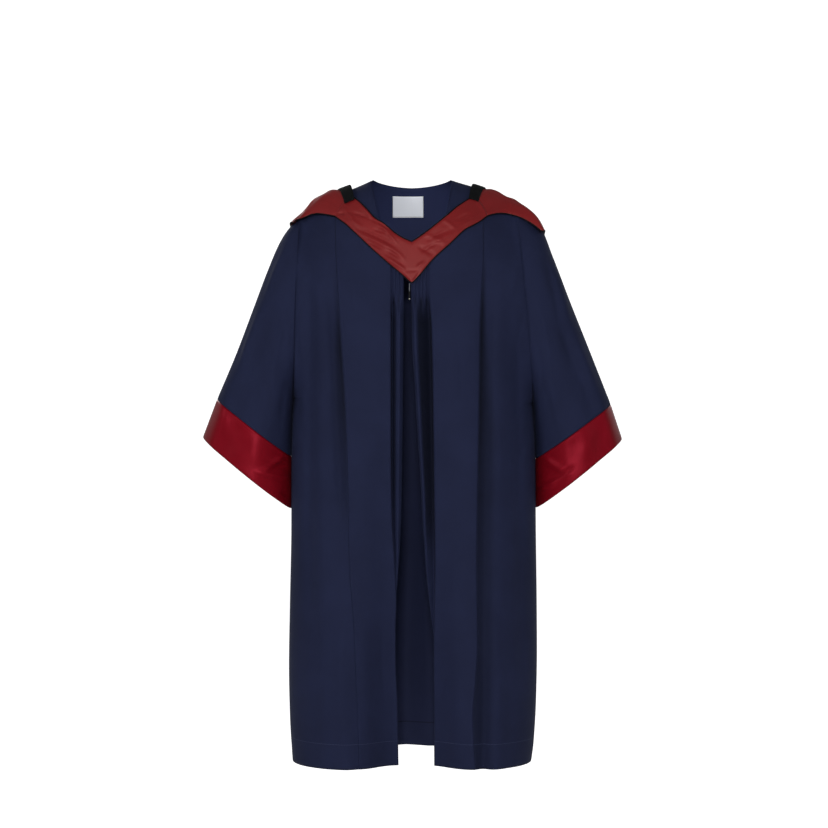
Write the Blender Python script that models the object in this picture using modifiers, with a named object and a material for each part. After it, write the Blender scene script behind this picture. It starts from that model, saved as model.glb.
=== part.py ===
"""An open-fronted graduation gown with wide sleeves and a satin V hood, in its worn shape and empty.

Metres, +Z up. The front faces -Y, so the wearer's right side is at -X and the left side at +X.
The origin is midway between the two neck points, where the shoulder seams meet the neckline.
"""

import math

import bpy
import numpy as np
from mathutils.bvhtree import BVHTree

# Driving dimensions
LENGTH = 1.190  # neck point to hem
NECK_HALF = 0.080
SHOULDER_ROUND = 0.120  # how far down the body's depth takes to grow in full
ARMHOLE_DEPTH = 0.075  # half the sleeve's front-to-back depth at the armhole
BODY_CORNER = 2.5  # exponent of the body's plan curve
BODY_FLATNESS = 0.55  # the body's depth, front or back, to its half width
NEAR_SIDE = 5  # exponent of how closely the cloth near the side follows the armhole's edge
WALL = 0.0012
SATIN_WALL = 0.0012
SEAM_GAP = 0.0004
SHOULDER_GAP = 0.0006
SHOULDER_LINE = 0.030  # how far down the wider gap on the shoulder line takes to close
SEAM_FADE = {"front": 0.012, "back": 0.020}  # beside the side seam the folds run out
ARMHOLE_GAP = 0.0012
LYING_GAP = 0.0011  # between a panel and what lies on it
RIGHT, LEFT = -1, 1

# Grid counts
RING = 24
UPPER_ROWS = RING // 2
LOWER_ROWS = 8
PLEAT_COLUMNS = 12
EDGE_COLUMNS = {RIGHT: 2, LEFT: 5}
COVERED_COLUMNS = 3
NECK_BACK_COLUMNS = 4
BACK_COLUMNS = 10
BAND_COLUMNS = 7
SIDE_COLUMNS = 9
SLEEVE_STEPS = 8
SLEEVE_SPACING = 1.35  # above 1 the sleeve's rings stand closer near its head
CUFF_STEPS = 2
HOOD_COLUMNS = 6
HOOD_FRONT_STEPS = 14
HOOD_BACK_STEPS = 22
STRAP_STEPS = 6
STRAP_COLUMNS = 2
LABEL_STEPS = 3
PLAN_SAMPLES = 2000  # along the body's plan curve, to space columns by
TOP_SEARCH = {"start": 0.1, "rounds": 40}  # a column's top is found by halving the way to it

NAVY = (0.016, 0.021, 0.052)
HOOD_RED = (0.250, 0.021, 0.022)
CUFF_CRIMSON = (0.310, 0.006, 0.018)
VELVET_BLACK = (0.006, 0.007, 0.008)
PIPING_NAVY = (0.008, 0.009, 0.018)
LABEL_WHITE = (0.80, 0.80, 0.86)
METAL = (0.72, 0.72, 0.70)
CORD_GREY = (0.42, 0.44, 0.52)


class Table:
    """Rows of sizes under named columns, read smoothly between the rows of the first column."""

    def __init__(self, names, *rows):
        columns = np.array(rows, float).T
        self.key = columns[0]
        self.columns = dict(zip(names.split(), columns))

    def read(self, name, at):
        x, y = self.key, self.columns[name]
        step = np.diff(x)
        rise = np.diff(y) / step
        slope = np.zeros_like(y)
        same_way = rise[:-1] * rise[1:] > 0
        total = np.where(same_way, rise[:-1] + rise[1:], 1)
        slope[1:-1] = np.where(same_way, 2 * rise[:-1] * rise[1:] / total, 0)
        slope[0], slope[-1] = rise[0], rise[-1]
        at = np.clip(at, x[0], x[-1])
        i = np.clip(np.searchsorted(x, at) - 1, 0, len(x) - 2)
        t = (at - x[i]) / step[i]
        start = y[i] * (1 + 2 * t) + slope[i] * step[i] * t
        end = y[i + 1] * (3 - 2 * t) + slope[i + 1] * step[i] * (t - 1)
        return start * (1 - t) ** 2 + end * t**2


# "out" is the distance from the middle, "drop" the distance below the origin.
SHOULDER = {
    RIGHT: Table(
        "out height",
        (0.000, 0.0400), (0.040, 0.0220), (0.080, 0.0000), (0.117, -0.0165), (0.150, -0.0290),
        (0.178, -0.0370), (0.206, -0.0580), (0.231, -0.0780), (0.251, -0.0970), (0.265, -0.1165),
        (0.279, -0.1440), (0.290, -0.1690),
    ),
    LEFT: Table(
        "out height",
        (0.000, 0.0400), (0.040, 0.0220), (0.080, 0.0000), (0.126, -0.0143), (0.155, -0.0240),
        (0.194, -0.0390), (0.216, -0.0500), (0.2325, -0.0605), (0.250, -0.0745), (0.264, -0.0945),
        (0.279, -0.1265), (0.294, -0.1670),
    ),
}
NECKLINE = Table(
    "out drop",
    (-0.020, 0.178), (0.000, 0.175), (0.012, 0.168), (0.030, 0.150), (0.050, 0.125),
    (0.067, 0.0865), (0.076, 0.040), (0.080, 0.000),
)
BACK_NECK_DIP = 0.0095
SIDE_LINE = {
    RIGHT: Table(
        "drop out",
        (0.079, 0.2300), (0.110, 0.2330), (0.200, 0.2350), (0.370, 0.2390), (0.450, 0.2440),
        (0.550, 0.2480), (0.700, 0.2480), (0.865, 0.2510), (1.000, 0.2530), (1.100, 0.2510), (1.190, 0.2455),
    ),
    LEFT: Table(
        "drop out",
        (0.0485, 0.2120), (0.115, 0.2190), (0.200, 0.2275), (0.285, 0.2360), (0.375, 0.2430),
        (0.460, 0.2490), (0.680, 0.2540), (0.865, 0.2565), (0.965, 0.2570), (1.070, 0.2550),
        (1.155, 0.2500), (1.190, 0.2455),
    ),
}
ARMHOLE = {
    RIGHT: {"top": 0.0790, "pit": 0.4500},
    LEFT: {"top": 0.0485, "pit": 0.4600},
}
BODY_DEPTH = Table(
    "drop front back",
    (0.00, 0.088, 0.085), (0.10, 0.102, 0.100), (0.20, 0.117, 0.115), (0.30, 0.127, 0.122),
    (0.50, 0.138, 0.130), (0.80, 0.158, 0.150), (1.19, 0.182, 0.172),
)
# The armhole's edge as the body's own form meets it, softened over these distances past its ends
ARMHOLE_SOFT = {"above_top": 0.03, "below_top": 0.15, "above_pit": 0.20, "below_pit": 0.10}
ROUND_BODY = {"first_drop": 0.28, "last_drop": 0.54}  # between them the plan turns from flat to round
# The front falls back towards the opening, more and more down to the hem.
OPENING_FALL = {"share": 0.47, "first_drop": 0.25, "growth": 1.2, "out": 0.027, "spread": 0.07}

# The band beside the opening, from its inner edge to its outer crease
BAND = {
    RIGHT: Table(
        "drop inner crease",
        (0.00, 0.0425, 0.158), (0.14, 0.0422, 0.1548), (0.31, 0.0420, 0.1444), (0.48, 0.0420, 0.1331),
        (0.61, 0.0415, 0.1286), (0.70, 0.0395, 0.1275), (0.78, 0.0345, 0.1260), (0.86, 0.0310, 0.1199),
        (0.91, 0.0328, 0.1165), (0.98, 0.0325, 0.1134), (1.06, 0.0292, 0.1095), (1.19, 0.0270, 0.1055),
    ),
    LEFT: Table(
        "drop inner crease",
        (0.00, 0.0340, 0.1450), (0.15, 0.0340, 0.1447), (0.23, 0.0341, 0.1404), (0.31, 0.0395, 0.1370),
        (0.49, 0.0430, 0.1341), (0.61, 0.0445, 0.1318), (0.79, 0.0462, 0.1295), (0.86, 0.0448, 0.1305),
        (0.93, 0.0438, 0.1313), (1.01, 0.0440, 0.1274), (1.08, 0.0444, 0.1214), (1.19, 0.0452, 0.1267),
    ),
}
BAND_TOP = {"drop_at_middle": 0.183, "slope": 0.82}  # the band's upper edge, under the hood
# Distances out, at the shoulder, of the columns that follow the neckline's steep end
NECK_COLUMNS = (0.067, 0.076, NECK_HALF)
# The gathered cloth inside the band: it shows less and less, and at last lies behind the band.
GATHERED_EDGE = {
    RIGHT: Table(
        "drop out",
        (0.00, 0.0165), (0.23, 0.0165), (0.45, 0.0180), (0.65, 0.0208), (0.71, 0.0225),
        (0.78, 0.0262), (0.84, 0.0310), (0.90, 0.0375), (1.00, 0.0375), (1.06, 0.0330), (1.19, 0.0300),
    ),
    LEFT: Table(
        "drop out",
        (0.00, -0.0020), (0.31, -0.0010), (0.45, 0.0065), (0.55, 0.0125), (0.65, 0.0188),
        (0.71, 0.0213), (0.76, 0.0254), (0.81, 0.0290), (0.86, 0.0345), (0.91, 0.0410), (0.97, 0.0470),
        (1.19, 0.0485),
    ),
}
LEAST_GATHER = 0.009
COVERED = 0.018  # how far under the band the gathered cloth's own grid goes
# Rolls of the gathered cloth, "across" from its own edge (0) to the band's edge (1)
ROLLS = {
    RIGHT: (
        {"across": 0.52, "spread": 0.17, "rise": 0.0060},
        {"across": 0.90, "spread": 0.10, "rise": -0.0050},
    ),
    LEFT: (
        {"across": 0.10, "spread": 0.12, "rise": 0.0060},
        {"across": 0.36, "spread": 0.10, "rise": -0.0055},
        {"across": 0.57, "spread": 0.08, "rise": 0.0025},
        {"across": 0.80, "spread": 0.10, "rise": -0.0055},
    ),
}
ROLLS_END = 1.6  # the rolls stop here, under the band
ROLL_START = {"first_drop": 0.225, "last_drop": 0.300}
ROLLED_EDGE = {"fall": 0.0060, "across": 0.3}
FULL_GATHER_WIDTH = 0.040
PLEAT = {
    "pitch": 0.0074, "rise": 0.0009, "first_drop": 0.150, "growth": 0.015, "seam_drop": 0.236, "fade": 0.030,
    "last_across": 0.95, "end_across": 1.15,
}
LEAST_PLEAT_START = 0.04  # share of the gathered cloth beside its edge that is never pleated

# Long soft folds of the panels: a gentle ridge (rise above 0) or trough
FOLD_NAMES = "top_out top_drop bottom_out bottom_drop spread rise"
FRONT_FOLDS = {
    RIGHT: (
        (0.163, 0.26, 0.147, 0.72, 0.011, -0.0045),
        (0.184, 0.14, 0.176, 1.16, 0.015, 0.0040),
        (0.207, 0.17, 0.204, 0.92, 0.011, -0.0045),
        (0.100, 0.86, 0.086, 1.19, 0.016, 0.0030),
        (0.150, 0.84, 0.130, 1.19, 0.018, 0.0035),
    ),
    LEFT: (
        (0.155, 0.22, 0.148, 0.60, 0.011, -0.0045),
        (0.178, 0.20, 0.172, 1.19, 0.016, 0.0040),
        (0.200, 0.30, 0.205, 1.05, 0.012, -0.0040),
        (0.148, 0.95, 0.140, 1.19, 0.012, -0.0040),
        (0.080, 0.70, 0.088, 1.19, 0.018, 0.0030),
    ),
}
# The back's folds: "out" here runs from -X to +X.
BACK_FOLDS = (
    (-0.190, 0.34, -0.196, 1.19, 0.018, 0.0050),
    (-0.148, 0.39, -0.150, 1.19, 0.017, -0.0060),
    (-0.100, 0.42, -0.108, 1.19, 0.019, 0.0060),
    (-0.052, 0.44, -0.060, 1.19, 0.018, -0.0065),
    (-0.008, 0.45, -0.012, 1.19, 0.018, 0.0060),
    (0.036, 0.44, 0.040, 1.19, 0.017, -0.0060),
    (0.084, 0.42, 0.090, 1.19, 0.019, 0.0065),
    (0.132, 0.40, 0.138, 1.19, 0.018, -0.0060),
    (0.180, 0.36, 0.188, 1.19, 0.018, 0.0050),
)
FOLD_FADE = 0.10
BACK_FOLD_FADE = 0.34

# Sleeve rings: "outer" is the arm's upper line, "under" the underarm line, "depth" half of it front to back.
SLEEVE_NAMES = "along outer_out outer_drop under_out under_drop depth sag"
SLEEVE = {
    RIGHT: Table(
        SLEEVE_NAMES,
        (0.00, 0.2300, 0.0790, 0.2440, 0.4500, 0.0750, 0.000),
        (0.06, 0.2510, 0.0970, 0.2458, 0.4620, 0.0750, 0.000),
        (0.16, 0.2710, 0.1270, 0.2474, 0.4800, 0.0745, 0.001),
        (0.30, 0.2955, 0.1830, 0.2488, 0.5020, 0.0735, 0.001),
        (0.50, 0.3245, 0.2600, 0.2500, 0.5280, 0.0715, 0.002),
        (0.75, 0.3630, 0.3613, 0.2504, 0.5520, 0.0690, 0.002),
        (1.00, 0.4010, 0.4507, 0.2506, 0.5683, 0.0670, 0.002),
    ),
    LEFT: Table(
        SLEEVE_NAMES,
        (0.00, 0.2120, 0.0485, 0.2490, 0.4600, 0.0750, 0.000),
        (0.06, 0.2360, 0.0622, 0.2508, 0.4720, 0.0750, 0.000),
        (0.16, 0.2640, 0.0945, 0.2526, 0.4880, 0.0745, 0.001),
        (0.30, 0.2895, 0.1570, 0.2542, 0.5080, 0.0735, 0.001),
        (0.50, 0.3260, 0.2525, 0.2556, 0.5310, 0.0715, 0.002),
        (0.75, 0.3665, 0.3540, 0.2568, 0.5540, 0.0690, 0.002),
        (1.00, 0.4090, 0.4614, 0.2576, 0.5727, 0.0670, 0.002),
    ),
}
CUFF_END = {
    RIGHT: {"outer_out": 0.4306, "outer_drop": 0.5294, "under_out": 0.2508, "under_drop": 0.6757},
    LEFT: {"outer_out": 0.4325, "outer_drop": 0.5330, "under_out": 0.2580, "under_drop": 0.6740},
}
SAG_ROUNDNESS = 0.7  # below 1 a ring's sag reaches further round it
SLEEVE_FOLD_START = {"first": 0.2, "last": 0.6}  # the folds come in between these places along the sleeve
CUFF_END_DEPTH = 0.070
CUFF_END_SAG = 0.003
# Lengthwise folds of the sleeves, at a turn round the ring (0 on the upper line, 90 in front)
SLEEVE_FOLDS = (
    {"turn": 38, "spread": 12, "rise": 0.0045},
    {"turn": 62, "spread": 11, "rise": -0.0035},
    {"turn": 105, "spread": 16, "rise": 0.0030},
    {"turn": 230, "spread": 16, "rise": 0.0035},
    {"turn": 265, "spread": 14, "rise": -0.0035},
    {"turn": 312, "spread": 13, "rise": 0.0040},
)

# The hood's band, from the V at the front to the middle of the back. A drop on the back is negative here.
HOOD_NAMES = "place inner_out inner_drop outer_out outer_drop clear"
HOOD_FRONT = {
    RIGHT: Table(
        HOOD_NAMES,
        (0, 0.0000, 0.1370, 0.0000, 0.2203, 0.0046),
        (1, 0.0180, 0.1292, 0.0190, 0.2025, 0.0046),
        (2, 0.0362, 0.1170, 0.0422, 0.1832, 0.0046),
        (3, 0.0564, 0.0992, 0.0700, 0.1585, 0.0046),
        (4, 0.0755, 0.0873, 0.1000, 0.1296, 0.0046),
        (5, 0.0859, 0.0752, 0.1190, 0.1113, 0.0046),
        (6, 0.0996, 0.0600, 0.1340, 0.0970, 0.0052),
        (7, 0.1149, 0.0460, 0.1460, 0.0880, 0.0060),
        (8, 0.1270, 0.0395, 0.1545, 0.0815, 0.0066),
    ),
    LEFT: Table(
        HOOD_NAMES,
        (0, 0.0000, 0.1370, 0.0000, 0.2203, 0.0046),
        (1, 0.0180, 0.1245, 0.0190, 0.1985, 0.0046),
        (2, 0.0360, 0.1110, 0.0380, 0.1753, 0.0046),
        (3, 0.0565, 0.0940, 0.0620, 0.1520, 0.0046),
        (4, 0.0740, 0.0790, 0.0877, 0.1276, 0.0046),
        (5, 0.0912, 0.0637, 0.1050, 0.1110, 0.0046),
        (6, 0.1060, 0.0530, 0.1210, 0.1020, 0.0046),
        (7, 0.1182, 0.0447, 0.1360, 0.0930, 0.0046),
        (8, 0.1285, 0.0385, 0.1520, 0.0800, 0.0046),
    ),
}
HOOD_BACK = {
    RIGHT: Table(
        HOOD_NAMES,
        (0, 0.1270, 0.0395, 0.1545, 0.0815, 0.0066),
        (1, 0.1350, 0.0270, 0.1762, 0.0765, 0.0074),
        (2, 0.1420, -0.0300, 0.2050, 0.0770, 0.0098),
        (3, 0.1460, -0.0370, 0.2300, 0.0880, 0.0088),
        (4, 0.1485, -0.0450, 0.2420, 0.0960, 0.0070),
        (5, 0.1500, -0.0560, 0.2480, -0.0990, 0.0060),
        (6, 0.1500, -0.0690, 0.2470, -0.1290, 0.0054),
        (7, 0.1460, -0.0850, 0.2400, -0.1700, 0.0046),
        (8, 0.1260, -0.1120, 0.2150, -0.2500, 0.0036),
        (9, 0.0900, -0.1340, 0.1600, -0.3500, 0.0030),
        (10, 0.0460, -0.1460, 0.0850, -0.4200, 0.0026),
        (11, 0.0000, -0.1500, 0.0000, -0.4450, 0.0024),
    ),
    LEFT: Table(
        HOOD_NAMES,
        (0, 0.1285, 0.0385, 0.1520, 0.0800, 0.0046),
        (1, 0.1360, 0.0250, 0.1800, 0.0730, 0.0046),
        (2, 0.1420, -0.0260, 0.2130, 0.0783, 0.0048),
        (3, 0.1460, -0.0340, 0.2483, 0.0983, 0.0052),
        (4, 0.1485, -0.0420, 0.2660, 0.1130, 0.0052),
        (5, 0.1500, -0.0520, 0.2710, -0.1280, 0.0052),
        (6, 0.1500, -0.0660, 0.2690, -0.1500, 0.0052),
        (7, 0.1460, -0.0830, 0.2560, -0.1850, 0.0050),
        (8, 0.1260, -0.1110, 0.2230, -0.2560, 0.0038),
        (9, 0.0900, -0.1340, 0.1630, -0.3500, 0.0030),
        (10, 0.0460, -0.1460, 0.0860, -0.4200, 0.0026),
        (11, 0.0000, -0.1500, 0.0000, -0.4450, 0.0024),
    ),
}
PIPING_RADIUS = 0.0012
PIPING_LIFT = 0.0007
PIPING_GAP = 0.0009

# Shoulder straps: "bend" is the angle round the shoulder, below 0 at the front
STRAP = Table(
    "place inner_out outer_out bend",
    (0, 0.1130, 0.1330, -0.80), (1, 0.1190, 0.1420, -0.40),
    (2, 0.1240, 0.1500, 0.00), (3, 0.1240, 0.1500, 0.55),
)
STRAP_CLEAR = {RIGHT: 0.0134, LEFT: 0.0088}

LABEL = {"width": 0.065, "height": 0.043, "middle_x": -0.0084, "middle_drop": 0.0470, "wall": 0.0010}
FASTENING = {
    "x": -0.005, "loop": 0.016, "loop_radius": 0.0008, "clasp": 0.013, "clasp_width": 0.0036,
    "clasp_depth": 0.0026, "clasp_edge": 0.0008, "bead": 0.0018,
}


def blend_in(value, first, last):
    """0 up to first, 1 from last on, smooth between."""
    t = np.clip((value - first) / (last - first), 0, 1)
    return t * t * (3 - 2 * t)


def bump(value, middle, spread):
    return np.exp(-(((value - middle) / spread) ** 2))


def shoulder_height(side, out):
    return SHOULDER[side].read("height", out)


def top_edge(side, out):
    """Drop of a front's top edge: the neckline, then the shoulder seam."""
    return np.where(out < NECK_HALF, NECKLINE.read("drop", out), -shoulder_height(side, out))


def armhole_half_depth(side, drop):
    top, pit = ARMHOLE[side]["top"], ARMHOLE[side]["pit"]
    place = (drop - (top + pit) / 2) / ((pit - top) / 2)
    return ARMHOLE_DEPTH * np.sqrt(np.clip(1 - place**2, 0, None))


def body_depth(side, out, drop, face):
    """Depth of the plain body form in front ("front") or behind ("back") at a place."""
    below = np.clip((drop + shoulder_height(side, out)) / SHOULDER_ROUND, 0, 1)
    full = BODY_DEPTH.read(face, drop) * np.sqrt(1 - (1 - below) ** 2)
    if face == "front":
        first, beside = OPENING_FALL["first_drop"], OPENING_FALL["out"]
        down = np.clip((drop - first) / (LENGTH - first), 0, 1) ** OPENING_FALL["growth"]
        near = bump(np.clip(out, beside, None), beside, OPENING_FALL["spread"])
        full = full * (1 - OPENING_FALL["share"] * down * near)
    share = np.clip(np.abs(out) / SIDE_LINE[side].read("out", drop), 0, 1)
    near_side = share**NEAR_SIDE
    top, pit = ARMHOLE[side]["top"], ARMHOLE[side]["pit"]
    soft = blend_in(drop, top - ARMHOLE_SOFT["above_top"], top + ARMHOLE_SOFT["below_top"])
    soft = soft * (1 - blend_in(drop, pit - ARMHOLE_SOFT["above_pit"], pit + ARMHOLE_SOFT["below_pit"]))
    edge = near_side * armhole_half_depth(side, drop) + (1 - near_side) * ARMHOLE_DEPTH * soft
    power = 1 - (1 - 1 / BODY_CORNER) * blend_in(drop, ROUND_BODY["first_drop"], ROUND_BODY["last_drop"])
    return edge + (full - edge) * (1 - share**BODY_CORNER) ** power


def long_folds(rows, out, drop, fade):
    total = np.zeros_like(out)
    for row in rows:
        fold = dict(zip(FOLD_NAMES.split(), row))
        run = (drop - fold["top_drop"]) / (fold["bottom_drop"] - fold["top_drop"])
        middle = fold["top_out"] + run * (fold["bottom_out"] - fold["top_out"])
        shown = blend_in(drop, fold["top_drop"], fold["top_drop"] + fade)
        if fold["bottom_drop"] < LENGTH:
            shown = shown * (1 - blend_in(drop, fold["bottom_drop"] - fade, fold["bottom_drop"]))
        total = total + fold["rise"] * shown * bump(out, middle, fold["spread"])
    return total


def gathers(side, out, drop):
    """The gathered cloth's rolls, its rolled edge and the small pressed pleats above their seam."""
    edge = GATHERED_EDGE[side].read("out", drop)
    band = BAND[side].read("inner", drop)
    width = np.clip(band - edge, 0.001, None)
    across = (out - edge) / width
    size = np.clip((band - edge) / FULL_GATHER_WIDTH, 0, 1)
    size = size * blend_in(drop, ROLL_START["first_drop"], ROLL_START["last_drop"])
    total = sum(roll["rise"] * bump(across, roll["across"], roll["spread"]) for roll in ROLLS[side])
    total = total - ROLLED_EDGE["fall"] * np.clip(1 - across / ROLLED_EDGE["across"], 0, 1) ** 2
    pleated = blend_in(drop, PLEAT["first_drop"], PLEAT["first_drop"] + PLEAT["growth"])
    pleated = pleated * (1 - blend_in(drop, PLEAT["seam_drop"], PLEAT["seam_drop"] + PLEAT["fade"]))
    pleated = pleated * (1 - blend_in(across, PLEAT["last_across"], PLEAT["end_across"]))
    wave = np.cos(2 * math.pi * (band - out) / PLEAT["pitch"])
    return total * size * (across < ROLLS_END) + PLEAT["rise"] * pleated * wave


def seam_half(side, out, drop):
    """Half the gap between front and back, a little wider on the rounded shoulder line."""
    below = drop + shoulder_height(side, out)
    return SEAM_GAP / 2 + SHOULDER_GAP * (1 - blend_in(below, 0, SHOULDER_LINE))


def front_point(side, out, drop):
    edge = SIDE_LINE[side].read("out", drop)
    fade = 1 - blend_in(out, edge - SEAM_FADE["front"], edge)
    depth = body_depth(side, out, drop, "front") + seam_half(side, out, drop)
    folds = long_folds(FRONT_FOLDS[side], out, drop, FOLD_FADE)
    depth = depth + fade * (folds + gathers(side, out, drop))
    return np.stack([side * out, -depth, -drop], -1)


def back_point(x, drop):
    out = np.abs(x)
    depths = [body_depth(side, out, drop, "back") + seam_half(side, out, drop) for side in (RIGHT, LEFT)]
    depth = np.where(x < 0, *depths)
    edge = np.where(x < 0, SIDE_LINE[RIGHT].read("out", drop), SIDE_LINE[LEFT].read("out", drop))
    fade = 1 - blend_in(out, edge - SEAM_FADE["back"], edge)
    return np.stack([x, depth + fade * long_folds(BACK_FOLDS, x, drop, BACK_FOLD_FADE), -drop], -1)


def row_drops(top, pit):
    """Drops down one column: round the shoulder and armhole as the sleeve's ring goes, then to the hem."""
    turns = np.linspace(0, math.pi, UPPER_ROWS + 1)
    lower = np.linspace(pit, LENGTH, LOWER_ROWS + 1)
    return np.concatenate([top + (pit - top) * (1 - np.cos(turns)) / 2, lower[1:]])


def front_column(side, out_at):
    """(out, drop) down a column whose distance out is out_at(drop)."""
    top = np.float64(TOP_SEARCH["start"])
    for _ in range(TOP_SEARCH["rounds"]):
        top = (top + top_edge(side, out_at(top))) / 2
    drops = row_drops(top, ARMHOLE[side]["pit"])
    return out_at(drops), drops


def plan_shares(count):
    """Shares of the half width that space columns evenly round the body's plan curve."""
    share = np.linspace(0, 1, PLAN_SAMPLES + 1)
    depth = BODY_FLATNESS * (1 - share**BODY_CORNER) ** (1 / BODY_CORNER)
    length = np.concatenate([[0], np.cumsum(np.hypot(np.diff(share), np.diff(depth)))])
    return lambda first: np.interp(
        np.linspace(np.interp(first, share, length), length[-1], count + 1), length, share
    )


def grid(columns, point):
    """Rows by columns of points, from the (out, drop) of each column."""
    out = np.stack([column[0] for column in columns], 1)
    drop = np.stack([column[1] for column in columns], 1)
    return point(out, drop)


def gathered_end(side, drop):
    """Where the gathered cloth's fine columns end: at the band's edge, or just under the band low down."""
    return np.maximum(BAND[side].read("inner", drop), GATHERED_EDGE[side].read("out", drop) + LEAST_GATHER)


def front_grid(side):
    def gathered(share):
        def out_at(drop):
            edge = GATHERED_EDGE[side].read("out", drop)
            return edge + share * (gathered_end(side, drop) - edge)

        return out_at

    def covered(share):
        def out_at(drop):
            end = gathered_end(side, drop)
            return end + share * (COVERED + BAND[side].read("inner", drop) - end)

        return out_at

    def on_band(share):
        def out_at(drop):
            first = BAND[side].read("inner", drop) + COVERED
            return first + share * (BAND[side].read("crease", drop) - first)

        return out_at

    def beside(share):
        def out_at(drop):
            first = BAND[side].read("crease", drop)
            return first + share * (SIDE_LINE[side].read("out", drop) - first)

        return out_at

    pleats = PLEAT_COLUMNS * PLEAT["pitch"] / 4
    width = BAND[side].read("inner", PLEAT["seam_drop"]) - GATHERED_EDGE[side].read("out", PLEAT["seam_drop"])
    first_pleat = max(LEAST_PLEAT_START, 1 - pleats / width)
    beside_edge = np.linspace(0, first_pleat, EDGE_COLUMNS[side] + 1)[:-1]
    shares = np.concatenate([beside_edge, np.linspace(first_pleat, 1, PLEAT_COLUMNS + 1)])
    start = BAND[side].read("inner", 0.0) + COVERED
    crease = BAND[side].read("crease", 0.0)
    neck = [(out - start) / (crease - start) for out in NECK_COLUMNS]
    band = neck[:-1] + list(np.linspace(neck[-1], 1, BAND_COLUMNS - len(neck) + 1))
    side_out = SIDE_LINE[side].read("out", LENGTH / 2)
    along = plan_shares(SIDE_COLUMNS)(BAND[side].read("crease", LENGTH / 2) / side_out)
    outer = (along - along[0]) / (1 - along[0])
    columns = [front_column(side, gathered(share)) for share in shares]
    columns += [front_column(side, covered(share)) for share in np.linspace(0, 1, COVERED_COLUMNS + 1)[1:]]
    columns += [front_column(side, on_band(share)) for share in band]
    columns += [front_column(side, beside(share)) for share in outer[1:]]
    return grid(columns, lambda out, drop: front_point(side, out, drop))


def facing_grid(side):
    """The band's points, and for each of its columns the first row that it has, under the hood."""
    start = EDGE_COLUMNS[side] + PLEAT_COLUMNS
    points = front_grid(side)[:, start : start + COVERED_COLUMNS + BAND_COLUMNS + 1]
    out, drop = front_column(side, lambda drop: BAND[side].read("inner", drop))
    points[:, 0] = front_point(side, out, drop)
    out, drop = np.abs(points[..., 0]), -points[..., 2]
    hidden = BAND_TOP["drop_at_middle"] - BAND_TOP["slope"] * out
    first_rows = np.argmin(np.abs(drop - hidden), axis=0)
    return moved(points, LYING_GAP + WALL, side == LEFT), first_rows


def back_grid():
    halves = []
    for side in (RIGHT, LEFT):
        start = NECK_HALF / SIDE_LINE[side].read("out", 0.0)
        inner = np.linspace(0, start, NECK_BACK_COLUMNS + 1)
        shares = np.concatenate([inner[:-1], plan_shares(BACK_COLUMNS)(start)])
        for share in shares[side == LEFT :]:
            width = SIDE_LINE[side].read("out", 0.0)
            at_top = share * width
            dip = BACK_NECK_DIP * (1 - (at_top / NECK_HALF) ** 2)
            top = np.where(at_top < NECK_HALF, dip, -shoulder_height(side, at_top))
            top = np.where(share == 1, ARMHOLE[side]["top"], top)
            drops = row_drops(top, ARMHOLE[side]["pit"])
            halves.append((side * share * SIDE_LINE[side].read("out", drops), drops))
    halves.sort(key=lambda column: column[0][0])
    return grid(halves, back_point)


def normals(points, flip, ring=False):
    """Unit normals of a grid, from its rows and columns. A ring grid closes on its first column."""
    down = np.gradient(points, axis=0)
    if ring:
        across = (np.roll(points, -1, 1) - np.roll(points, 1, 1)) / 2
    else:
        across = np.gradient(points, axis=1)
    normal = unit(np.cross(across, down))
    return -normal if flip else normal


def unit(vectors):
    return vectors / np.linalg.norm(vectors, axis=-1, keepdims=True)


def moved(points, distance, flip, ring=False):
    """The grid moved out by a distance, or by one distance for each row."""
    return points + np.reshape(distance, (-1, 1, 1)) * normals(points, flip, ring)


def sleeve_ring(side, row, folded):
    """One ring of the sleeve from its outer and underarm points, half depth and sag."""
    turn = np.arange(RING) * 2 * math.pi / RING
    down = (1 - np.cos(turn)) / 2
    out = row["outer_out"] + (row["under_out"] - row["outer_out"]) * down
    drop = row["outer_drop"] + (row["under_drop"] - row["outer_drop"]) * down
    slope = np.array([row["under_out"] - row["outer_out"], row["under_drop"] - row["outer_drop"]])
    away = np.array([slope[1], -slope[0]]) / np.linalg.norm(slope)
    sag = row["sag"] * np.abs(np.sin(turn)) ** SAG_ROUNDNESS
    depth = row["depth"] * np.abs(np.sin(turn))
    for fold in SLEEVE_FOLDS:
        depth = depth + folded * fold["rise"] * bump(np.degrees(turn), fold["turn"], fold["spread"])
    front = np.sign(np.round(np.sin(turn), 6))
    return np.stack([side * (out + sag * away[0]), -front * depth, -(drop + sag * away[1])], -1)


def armhole_ring(side):
    """The sleeve's first ring, which follows the body's armhole edge."""
    turn = np.arange(RING) * 2 * math.pi / RING
    top, pit = ARMHOLE[side]["top"], ARMHOLE[side]["pit"]
    drop = top + (pit - top) * (1 - np.cos(turn)) / 2
    out = SIDE_LINE[side].read("out", drop) + ARMHOLE_GAP
    return np.stack([side * out, -ARMHOLE_DEPTH * np.sin(turn), -drop], -1)


def sleeve_row(side, along):
    names = SLEEVE_NAMES.split()[1:]
    return {name: SLEEVE[side].read(name, along) for name in names}


def sleeve_grid(side):
    rings = [armhole_ring(side)]
    for step in range(1, SLEEVE_STEPS + 1):
        along = (step / SLEEVE_STEPS) ** SLEEVE_SPACING
        folded = blend_in(along, SLEEVE_FOLD_START["first"], SLEEVE_FOLD_START["last"])
        rings.append(sleeve_ring(side, sleeve_row(side, along), folded))
    return np.array(rings)


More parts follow.
